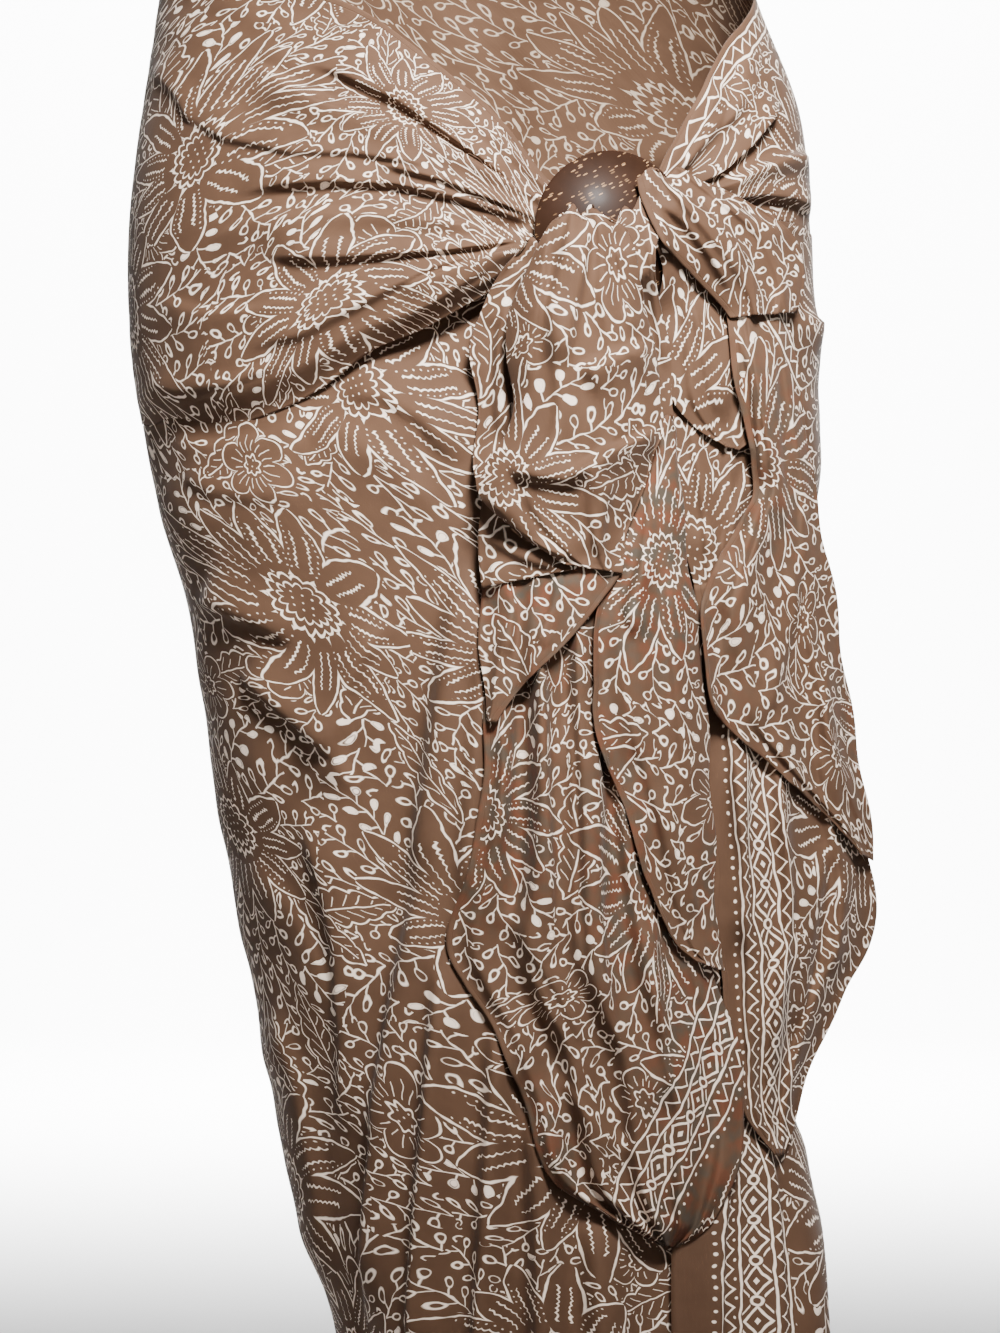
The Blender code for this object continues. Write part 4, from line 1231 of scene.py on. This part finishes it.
def weave_group():
    """Plain weave: fine threads both ways, as a height."""
    tree, run, along, hem = flat_group("plain weave", ("Height",))
    threads = (run * 9000).sine() * (along * 9000).sine()
    slub = noise(tree, joined(run * 900, along * 140), 1.0, 3.0)
    slack = Amount(tree, slub["Fac"])
    turned = hem.under(HEM_WIDE) * 1.2 - abs(hem - HEM_WIDE).line(0.35) * 1.5
    height = threads * 0.12 + slack * 0.6 + turned
    feed(tree, tree.nodes.new("NodeGroupOutput"), {"Height": height})
    return tree


def new_material(name):
    """A new material, its node tree and its shader."""
    made = bpy.data.materials.new(name)
    made.use_nodes = True
    return made, made.node_tree, made.node_tree.nodes["Principled BSDF"]


def surface(tree, colour, cloud, dull, height, depth):
    """A shader's inputs: its colour, its roughness, which goes from dull's first value to its
    second with the cloud, and its relief, with depth's strength and distance."""
    rough = shader_node(tree, "MapRange", {"Value": cloud, "To Min": dull[0], "To Max": dull[1]})
    relief = {"Height": height, "Strength": depth[0], "Distance": depth[1]}
    bump = shader_node(tree, "Bump", relief)
    return {"Base Color": colour, "Roughness": rough["Result"], "Normal": bump["Normal"]}


def cloth_material(name, print_tree, weave_tree, colours, roughness):
    """Printed rayon: brown ground, pale wax lines, thread and hem relief, a soft sheen."""
    made, tree, shader = new_material(name)
    place = shader_node(tree, "UVMap", {}, uv_map="flat_cloth")["UV"]
    hem = shader_node(tree, "Attribute", {}, attribute_name="hem")["Fac"]
    given = {"Place": place, "Hem": hem}
    pattern = shader_node(tree, "Group", given, node_tree=print_tree)
    weave = shader_node(tree, "Group", given, node_tree=weave_tree)
    tint = shader_node(tree, "Attribute", {}, attribute_name="tint")["Fac"]
    ground, ground_worn, line = colours
    colour = mixed(tree, pattern["Mottle"], ground, ground_worn)
    for mask, tinted in (("Rust", PRINT_RUST), ("Teal", PRINT_TEAL)):
        amount = Amount(tree, tint) * Amount(tree, pattern[mask])
        colour = mixed(tree, amount, colour, tinted)
    colour = mixed(tree, pattern["Lines"], colour, line)
    dull = (roughness, roughness + 0.10)
    relief = (0.35, 0.0003)
    feed(tree, shader, surface(tree, colour, pattern["Mottle"], dull, weave["Height"], relief))
    gloss = {"Sheen Weight": 0.05, "Sheen Roughness": 0.4, "Specular IOR Level": 0.14}
    feed(tree, shader, gloss)
    return made


def shell_material():
    """Polished coconut shell: near-black brown with short tan flecks under a gloss."""
    made, tree, shader = new_material("polished coconut shell")
    spot = shader_node(tree, "TexCoord", {})["Object"]
    stretch = {
        "Vector": spot,
        "Rotation": (0.0, 0.0, math.radians(FLECK_LEAN)),
        "Scale": FLECK_SIZE,
    }
    leaning = shader_node(tree, "Mapping", stretch, vector_type="TEXTURE")["Vector"]
    flecks = shader_node(tree, "TexVoronoi", {"Vector": leaning, "Scale": 1.0, "Randomness": 1.0})
    gap = Amount(tree, flecks["Distance"])
    luck, worth, _ = split(tree, flecks["Color"])
    fleck = (0.34 - gap).over(0.0) * luck.over(0.62) * (worth * 0.75 + 0.25)
    cloud = noise(tree, spot, 60.0, 4.0, dimensions="3D")["Fac"]
    colour = mixed(tree, fleck, mixed(tree, cloud, SHELL_DARK, SHELL_BROWN), SHELL_FLECK)
    feed(tree, shader, surface(tree, colour, cloud, (0.44, 0.56), cloud, (0.2, 0.0002)))
    gloss = {"Coat Weight": 0.02, "Coat Roughness": 0.20, "Specular IOR Level": 0.09}
    feed(tree, shader, gloss)
    return made


# The distance to a hem, in metres, that a point with no hem near it has
NO_HEM = 0.5


def hem_distance(points, hemmed):
    """How far each point lies from the nearest hemmed edge, and far away with none."""
    far = np.full(points.shape[:2], NO_HEM)
    down, across = lengths_along(points, 0), lengths_along(points, 1)
    edges = {
        "top": down,
        "end": down[-1:] - down,
        "left": across,
        "right": across[:, -1:] - across,
    }
    for name in hemmed:
        far = np.minimum(far, edges[name])
    return far


def flat_facts(place):
    """The cut of a stretch: its flat width, length and area."""
    across, along = place[..., 0], place[..., 1]
    width, length = float(np.ptp(across)), float(np.ptp(along))
    side_a = place[1:, 1:] - place[:-1, :-1]
    side_b = place[1:, :-1] - place[:-1, 1:]
    area = float(np.abs(side_a[..., 0] * side_b[..., 1] - side_a[..., 1] * side_b[..., 0]).sum() / 2)
    return (width, length), min(max(area, LEAST_FILL * width * length), width * length)


# How strongly the rust and teal tints of the print show on the tail pieces that have them
TINTS = {
    "left_tail_point": 0.8,
    "left_tail_roll": 0.5,
    "left_tail_panel": 0.4,
    "right_tail_middle": 0.25,
}

# The least share of its flat rectangle that a sheet is taken to fill
LEAST_FILL = 0.301


def cloth_piece(name, nodes, points, place, hemmed, materials, pile):
    """A thin shell of cloth in place of its solid, with its print's places and its hems."""
    rows, columns = points.shape[0] - 1, points.shape[1] - 1
    vertices = points.reshape(-1, 3)
    faces = grid_faces(rows, columns)
    mesh = bpy.data.meshes.new(name)
    mesh.from_pydata([tuple(vertex) for vertex in vertices], [], faces)
    mesh.shade_smooth()
    for material in materials:
        mesh.materials.append(material)
    corners = np.array(faces).ravel()
    layer = mesh.uv_layers.new(name="flat_cloth")
    layer.data.foreach_set("uv", place.reshape(-1, 2)[corners].ravel())
    point_numbers(mesh, "hem", hem_distance(points, hemmed).ravel())
    point_numbers(mesh, "tint", np.full(len(vertices), TINTS.get(nodes[0], 0.0)))
    made = new_object(name, mesh)
    shell = made.modifiers.new("Thickness", "SOLIDIFY")
    shell.thickness = CLOTH_THICK
    shell.offset = -1.0
    shell.material_offset = 1
    pile.add(vertices, faces)
    flat, area = flat_facts(place)
    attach(made, "root")
    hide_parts(*nodes)
    return made


def ring_frame():
    """The ring's place: its axis leans to the right with the hip."""
    facing = Matrix.Rotation(math.radians(RING_TURN), 4, "Z")
    upright = Matrix.Rotation(math.radians(90), 4, "X")
    return Matrix.Translation(RING_PLACE) @ facing @ upright


def ring_profile():
    """The wall of the domed disc, from the top of the dome over the rim to its hollow side."""
    rise = math.sqrt(RING_DOME**2 - RING_RADIUS**2)
    rim = math.asin(RING_RADIUS / RING_DOME)
    places = [(RING_DOME, rim * share) for share in np.linspace(0, 1, RING_ARC_STEPS)]
    for share in np.linspace(*RING_RIM_SHARES):
        places.append((RING_DOME - RING_WALL * share, rim + math.sin(math.pi * share) * RING_LIP))
    inner = RING_DOME - RING_WALL
    places += [(inner, rim * share) for share in np.linspace(1, 0, RING_ARC_STEPS)]
    return [(radius * math.sin(at), radius * math.cos(at) - rise) for radius, at in places]


def shell_ring(shell, pile):
    """The polished ring: the domed disc turned from its profile, with the hole cut through."""
    mesh = bpy.data.meshes.new("shell_ring")
    points = [(radius, 0.0, height) for radius, height in ring_profile()]
    mesh.from_pydata(points, [(i, i + 1) for i in range(len(points) - 1)], [])
    mesh.materials.append(shell)
    made = new_object("shell_ring", mesh)
    turned = made.modifiers.new("Turned", "SCREW")
    turned.angle = math.tau
    turned.steps = RING_STEPS
    turned.render_steps = RING_STEPS
    turned.use_merge_vertices = True
    turned.merge_threshold = RING_MERGE
    turned.use_smooth_shade = True
    bpy.ops.mesh.primitive_cylinder_add(vertices=RING_STEPS, radius=RING_HOLE, depth=RING_DOME)
    cutter = bpy.context.object
    cutter.matrix_world = Matrix.Translation((0.0, RING_HOLE_DROP, 0.0))
    hole = made.modifiers.new("Hole", "BOOLEAN")
    hole.operation = "DIFFERENCE"
    hole.object = cutter
    bpy.context.view_layer.update()
    built = made.evaluated_get(bpy.context.evaluated_depsgraph_get())
    solid = bpy.data.meshes.new_from_object(built)
    made.modifiers.clear()
    made.data = solid
    bpy.data.objects.remove(cutter, do_unlink=True)
    made.matrix_world = ring_frame()
    bpy.context.view_layer.update()
    soft = made.modifiers.new("Worn edges", "BEVEL")
    soft.width = RING_EDGE
    soft.segments = RING_EDGE_STEPS
    soft.limit_method = "ANGLE"
    soft.angle_limit = math.radians(RING_EDGE_ANGLE)
    vertices = [made.matrix_world @ vertex.co for vertex in solid.vertices]
    pile.add(vertices, [tuple(face.vertices) for face in solid.polygons])
    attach(made, "root")
    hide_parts("ring")
    return made


# The cloth bunched in the ring's hole. Columns: the place along the ring's axis, the radius there
GATHER = (
    (-0.0045, 0.0110),
    (-0.0040, 0.0170),
    (0.0015, 0.0172),
    (0.0045, 0.0136),
    (0.0140, 0.0136),
    (0.0165, 0.0130),
    (0.0185, 0.0100),
)
GATHER_FOLDS = 7
GATHER_FOLD_DEPTH = 0.09
GATHER_STEPS = 168
GATHER_ROWS = 36

# How its print lies: a start on the flat cloth, and the steps round and along it
GATHER_START = (0.4, 0.3)
GATHER_PITCH = (0.0012, 0.0010)


def ring_gather(materials, pile):
    """The cloth bunched in the ring: wide behind the dome, tight in the hole."""
    data = np.array(GATHER)
    at = np.linspace(0, 1, GATHER_ROWS) * (len(GATHER) - 1)
    knots = np.arange(len(GATHER), dtype=float)
    along, radius = np.interp(at, knots, data[:, 0]), np.interp(at, knots, data[:, 1])
    angle = np.linspace(0, math.tau, GATHER_STEPS + 1)[:-1]
    dip = 0.5 - 0.5 * np.cos(GATHER_FOLDS * angle + 0.5 * np.sin(2 * angle))
    fold = 1 - GATHER_FOLD_DEPTH * dip
    shape = bmesh.new()
    place = shape.loops.layers.uv.new("flat_cloth")
    loops = []
    for level, wide in zip(along, radius):
        loop = []
        for turn, out in zip(angle, wide * fold):
            spot = (out * math.cos(turn), RING_HOLE_DROP + out * math.sin(turn), level)
            loop.append(shape.verts.new(spot))
        loops.append(loop)
    for row, (lower, upper) in enumerate(zip(loops, loops[1:])):
        for step in range(GATHER_STEPS):
            after = (step + 1) % GATHER_STEPS
            face = shape.faces.new((lower[step], lower[after], upper[after], upper[step]))
            face.smooth = True
            marks = ((step, row), (step + 1, row), (step + 1, row + 1), (step, row + 1))
            for corner, mark in zip(face.loops, marks):
                flat = zip(GATHER_START, GATHER_PITCH, mark)
                corner[place].uv = [start + pitch * count for start, pitch, count in flat]
    shape.faces.new(list(reversed(loops[0])))
    shape.faces.new(loops[-1])
    shape.transform(ring_frame())
    mesh = bpy.data.meshes.new("ring_gather_cloth")
    shape.to_mesh(mesh)
    shape.free()
    mesh.materials.append(materials[0])
    point_numbers(mesh, "hem", np.full(len(mesh.vertices), NO_HEM))
    made = new_object("ring_gather_cloth", mesh)
    faces = [tuple(face.vertices) for face in mesh.polygons]
    pile.add([vertex.co.copy() for vertex in mesh.vertices], faces)
    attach(made, "root")
    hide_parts("ring_gather")
    return made


# The tail pieces from the lowest layer to the top one: name, rows of the table, sheet rows,
# sheet columns, crown power, creases as top share, end share, rise and width, fine creases,
# hemmed edges, then how the print lies: a front place on the line of the cloth's end edge, that
# line's lean in degrees, and how far the end edge lies beyond it
TAILS = (
    (
        "throat_inner", THROAT_INNER, 56, 34, 1.0,
        ((0.3, 0.4, 0.003, 0.12), (0.7, 0.7, 0.003, 0.12)),
        (
            (3.9, 8.5, 2, ((700, 520), (716, 560), (704, 600), (700, 640))),
            (3.5, 2, 8.5, ((745, 470), (730, 530), (716, 560))),
        ),
        (), (660, 400), 70, 0.310,
    ),
    (
        "throat_flap", THROAT_FLAP, 48, 34, 1.0,
        ((0.35, 0.3, 0.003, 0.12),),
        (
            (3.5, 2, 8.5, ((690, 300), (700, 360), (712, 420))),
            (2.9, 8.5, 2, ((730, 320), (724, 380), (722, 430))),
        ),
        ("right",), (700, 300), 20, 0.420,
    ),
    (
        "throat_fold", THROAT_FOLD, 48, 20, 0.6, (),
        ((2.9, 2, 6.8, ((644, 240), (650, 300), (664, 380))),),
        (), (640, 300), 85, 0.120,
    ),
    (
        "right_tail_under", RIGHT_TAIL_UNDER, 96, 58, 1.0,
        ((0.18, 0.2, 0.006, 0.10), (0.46, 0.45, 0.008, 0.11), (0.78, 0.74, 0.007, 0.10)),
        (
            (8.0, 10.2, 2.2, ((744, 740), (743, 800), (741, 850), (744, 960))),
            (8.5, 10.2, 2.4, ((778, 760), (784, 830), (788, 900), (780, 1000), (778, 1080))),
            (7.5, 10.2, 2.4, ((830, 840), (816, 919), (808, 970), (800, 1040))),
            (3.5, 8.5, 2.5, ((762, 760), (764, 880), (762, 1000), (764, 1100))),
            (3.5, 8.5, 2.5, ((852, 870), (842, 930), (836, 980))),
        ),
        ("left", "end"), (706, 1000), -86, 0.000,
    ),
    (
        "left_tail_panel", LEFT_TAIL_PANEL, 120, 84, 1.0,
        (
            (0.10, 0.09, 0.008, 0.10),
            (0.31, 0.27, 0.012, 0.12),
            (0.54, 0.50, 0.012, 0.12),
            (0.75, 0.71, 0.010, 0.11),
            (0.92, 0.90, 0.005, 0.06),
        ),
        (
            (7.5, 10.2, 2, ((536, 600), (543, 700), (545, 790), (549, 869), (550, 960))),
            (7.5, 10.2, 2, ((592, 700), (598, 800), (596, 869), (601, 960), (616, 1040))),
            (4.5, 8.5, 2, ((508, 620), (510, 720), (506, 800), (498, 860))),
            (5.5, 8.5, 2, ((566, 700), (570, 800), (572, 900), (580, 990))),
            (6.5, 8.5, 2, ((650, 900), (652, 960), (660, 1040), (674, 1110))),
            (3.5, 2.4, 10.2, ((486, 900), (520, 930), (556, 980), (590, 1050))),
            (3.5, 8.5, 2.4, ((548, 1060), (580, 1100), (610, 1130), (640, 1150))),
        ),
        ("left", "end"), (706, 1195), 56, 0.000,
    ),
    (
        "left_tail_roll", LEFT_TAIL_ROLL, 96, 44, 0.55,
        ((0.35, 0.4, 0.003, 0.12),),
        (
            (4.5, 8.5, 2, ((632, 600), (620, 640), (624, 700), (640, 770))),
            (3.9, 2, 8.5, ((664, 560), (668, 640), (676, 730), (690, 820))),
            (5.5, 2, 6.8, ((645, 552), (630, 588), (624, 611), (632, 640))),
            (3.5, 6.8, 2, ((660, 780), (676, 850), (696, 920))),
        ),
        ("left",), (640, 700), 78, 0.230,
    ),
    (
        "left_tail_point", LEFT_TAIL_POINT, 56, 44, 1.0,
        ((0.3, 0.3, 0.002, 0.12),),
        (
            (3.5, 8.5, 2, ((500, 560), (512, 610), (508, 660))),
            (3.5, 2, 8.5, ((560, 570), (552, 610), (534, 650))),
        ),
        ("right",), (548, 653), 128, 0.270,
    ),
    (
        "left_tail_underturn", LEFT_TAIL_UNDERTURN, 36, 40, 1.0, (),
        ((3.5, 2, 8.5, ((486, 540), (520, 560), (560, 572))),),
        (), (500, 560), 10, 0.340,
    ),
    (
        "left_tail_side", LEFT_TAIL_SIDE, 64, 30, 0.7,
        ((0.5, 0.4, 0.002, 0.12),),
        (
            (3.9, 2, 6.8, ((510, 300), (498, 350), (498, 400), (500, 450))),
            (2.9, 6.8, 2, ((526, 270), (508, 300), (490, 340))),
        ),
        (), (490, 400), 82, 0.500,
    ),
    (
        "left_tail_top", LEFT_TAIL_TOP, 110, 64, 0.5,
        ((0.30, 0.30, 0.003, 0.10), (0.66, 0.7, 0.003, 0.10)),
        (
            (7.0, 2, 11.0, ((650, 354), (626, 361), (601, 371), (574, 384))),
            (7.5, 2, 10.0, ((509, 468), (517, 479), (542, 484), (565, 486), (588, 470))),
            (7.0, 10.0, 2, ((565, 487), (584, 472), (609, 458), (641, 443), (660, 432))),
            (6.0, 10.0, 2, ((586, 232), (580, 280), (570, 330), (560, 380))),
            (3.9, 2, 8.5, ((612, 250), (622, 300), (630, 350))),
            (3.5, 8.5, 2, ((545, 240), (540, 300), (530, 350), (528, 400))),
            (6.5, 2.2, 9.0, ((486, 500), (510, 528), (545, 552), (580, 566))),
            (3.5, 6.8, 2, ((610, 480), (600, 520), (596, 560))),
        ),
        (), (600, 400), 100, 0.600,
    ),
    (
        "right_tail_drop", RIGHT_TAIL_DROP, 150, 60, 0.8,
        ((0.3, 0.25, 0.004, 0.12), (0.75, 0.8, 0.003, 0.10)),
        (
            (4.3, 2.2, 9, ((734, 330), (748, 380), (756, 440), (762, 496))),
            (3.5, 9, 2.0, ((770, 340), (772, 400), (778, 480), (790, 540))),
            (4.3, 2.2, 9, ((776, 470), (754, 540), (730, 610), (716, 680))),
            (3.5, 9, 2.2, ((800, 540), (792, 620), (770, 700), (750, 740))),
            (3.5, 2.2, 9, ((826, 600), (828, 680), (822, 760), (830, 820))),
        ),
        ("left", "end"), (760, 740), 134, 0.200,
    ),
    (
        "right_tail_top", RIGHT_TAIL_TOP, 56, 60, 0.8,
        ((0.35, 0.4, 0.003, 0.10), (0.7, 0.75, 0.003, 0.08)),
        (
            (4.5, 8.5, 2, ((660, 196), (690, 214), (722, 240), (752, 276))),
            (3.9, 2, 8.5, ((650, 210), (680, 232), (706, 264), (728, 300))),
            (3.5, 6.8, 2, ((700, 206), (740, 222), (790, 238))),
        ),
        ("left",), (680, 270), 140, 0.250,
    ),
)


# The side of a tail that its end edge and border lie at, as a share across it. The print of
# the others is placed from the middle
END_EDGE_AT = {"left_tail_panel": 1.0, "right_tail_under": 0.0}
TAIL_MIDDLE = 0.5
TAIL_ALONG = 0.5

# The tail piece that stands in place of two solids
JOINED_NODES = {"right_tail_drop": ("right_tail_middle", "right_tail_fold")}


def tail_print(points, mark, lean, beyond, steady):
    """Print places of a tail: how far each point lies from the end edge, and along it. They
    follow the pleats across the sheet, from the steady column, a share of its width."""
    run = lengths_along(points, 1)
    column_at = round(steady * (points.shape[1] - 1))
    mark_x, mark_z = seen(*mark)
    slope = math.radians(lean)
    dx = points[:, column_at, None, 0] + run - run[:, column_at, None] - mark_x
    dz = points[..., 2] - mark_z
    along = dx * math.cos(slope) + dz * math.sin(slope)
    run = dz * math.cos(slope) - dx * math.sin(slope)
    return np.stack([beyond + run, along + TAIL_ALONG], axis=-1)


# The stretches round the hips, from the lowest to the top one: name, the function that lays it,
# rows, columns and hemmed edges
WRAPS = (
    ("back_fall", back_fall_points, 190, 132, ("top", "end")),
    ("left_fall", left_fall_points, 240, 180, ("end",)),
    ("right_fall", right_fall_points, 190, 62, ("end",)),
    ("left_band", left_band_points, 165, 180, ("top",)),
    ("right_band", right_band_points, 96, 96, ("top",)),
)


def build_cloth():
    """Every stretch and tail piece and the ring, each laid over those before it."""
    trees = print_group(), weave_group()
    face = cloth_material("batik face", *trees, FACE_COLOURS, FACE_ROUGHNESS)
    reverse = cloth_material("batik reverse", *trees, REVERSE_COLOURS, REVERSE_ROUGHNESS)
    cloth = (face, reverse)
    pile = Pile()
    for name, make, rows, columns, hemmed in WRAPS:
        points, place = make(rows, columns)
        cloth_piece(name + "_cloth", (name,), points, place, hemmed, cloth, pile)
    shell_ring(shell_material(), pile)
    ring_gather(cloth, pile)
    for step, row in enumerate(TAILS):
        name, table, rows, columns, power, creases, fine, hemmed, mark, lean, beyond = row
        seed = TAIL_SEED + step
        points = tail_points(table, rows, columns, power, creases, fine, seed, pile)
        place = tail_print(points, mark, lean, beyond, END_EDGE_AT.get(name, TAIL_MIDDLE))
        nodes = JOINED_NODES.get(name, (name,))
        cloth_piece(name + "_cloth", nodes, points, place, hemmed, cloth, pile)


# The floor and its backdrop: their level, half width, depth to the curve, the curve's radius
# and the steps in it, and the height of the backdrop
FLOOR = -0.990
STAGE_HALF = 12.0
STAGE_DEEP = 10.0
STAGE_CURVE = 2.0
STAGE_STEPS = 12
STAGE_TOP = 7.0
STAGE_COLOUR = (0.93, 0.93, 0.93, 1.0)


def plain_material(name, colour, roughness):
    made, tree, shader = new_material(name)
    feed(tree, shader, {"Base Color": colour, "Roughness": roughness})
    return made


def build_stage():
    """A pale floor, and a pale backdrop that curves up behind it."""
    shape = bmesh.new()
    profile = [(-STAGE_HALF, 0.0), (STAGE_DEEP, 0.0)]
    for step in range(1, STAGE_STEPS + 1):
        angle = math.pi / 2 * step / STAGE_STEPS
        deep = STAGE_DEEP + STAGE_CURVE * math.sin(angle)
        profile.append((deep, STAGE_CURVE - STAGE_CURVE * math.cos(angle)))
    profile.append((STAGE_DEEP + STAGE_CURVE, STAGE_TOP))
    sides = [
        [shape.verts.new((x, y, FLOOR + z)) for y, z in profile] for x in (-STAGE_HALF, STAGE_HALF)
    ]
    for step in range(len(profile) - 1):
        left, right = sides
        shape.faces.new((left[step], right[step], right[step + 1], left[step + 1]))
    mesh = bpy.data.meshes.new("pale_floor")
    shape.to_mesh(mesh)
    shape.free()
    mesh.shade_smooth()
    mesh.materials.append(plain_material("pale studio floor", STAGE_COLOUR, 0.9))
    new_object("pale_floor", mesh)


def area_light(name, place, target, size, power, spread=180):
    """A round light at a place, turned to its target and unseen by the camera."""
    lamp = bpy.data.lights.new(name, "AREA")
    lamp.shape = "DISK"
    lamp.size = size
    lamp.energy = power
    lamp.spread = math.radians(spread)
    made = new_object(name, lamp)
    made.location = place
    made.rotation_euler = (Vector(target) - Vector(place)).to_track_quat("-Z", "Y").to_euler()
    made.visible_camera = False


# The strength of the even light from all sides
ROOM_LIGHT = 0.17


def build_light():
    world = bpy.data.worlds.new("soft room light")
    world.use_nodes = True
    back = world.node_tree.nodes["Background"]
    back.inputs["Color"].default_value = (1.0, 1.0, 1.0, 1.0)
    back.inputs["Strength"].default_value = ROOM_LIGHT
    bpy.context.scene.world = world
    area_light("key_light", (0.29, -1.25, 0.90), (0.04, -0.1, 0.08), 0.45, 8.6, 45)
    area_light("fill_light", (1.2, -2.6, 0.2), (0.05, 0.0, -0.25), 1.6, 3)
    area_light("back_light", (0.6, 2.4, 1.8), (0.03, 0.0, -0.4), 0.5, 60)
    area_light("backdrop_light", (0.0, 7.5, 3.2), (0.0, 12.0, -0.6), 4.0, 3500)


# The camera stands in front. Its lens shows 0.64 m of height at a distance of 2.95 m
CAMERA_PLACE = (0.0134, -3.0, -0.2086)
CAMERA_SENSOR = 36
CAMERA_LENS = CAMERA_SENSOR * 2.95 / 0.64


def build_camera():
    lens = bpy.data.cameras.new("front_camera")
    lens.sensor_fit = "VERTICAL"
    lens.sensor_height = CAMERA_SENSOR
    lens.lens = CAMERA_LENS
    made = new_object("front_camera", lens)
    made.location = CAMERA_PLACE
    made.rotation_euler = (math.radians(90), 0.0, 0.0)
    bpy.context.scene.camera = made


build_camera()
build_cloth()
build_stage()
build_light()
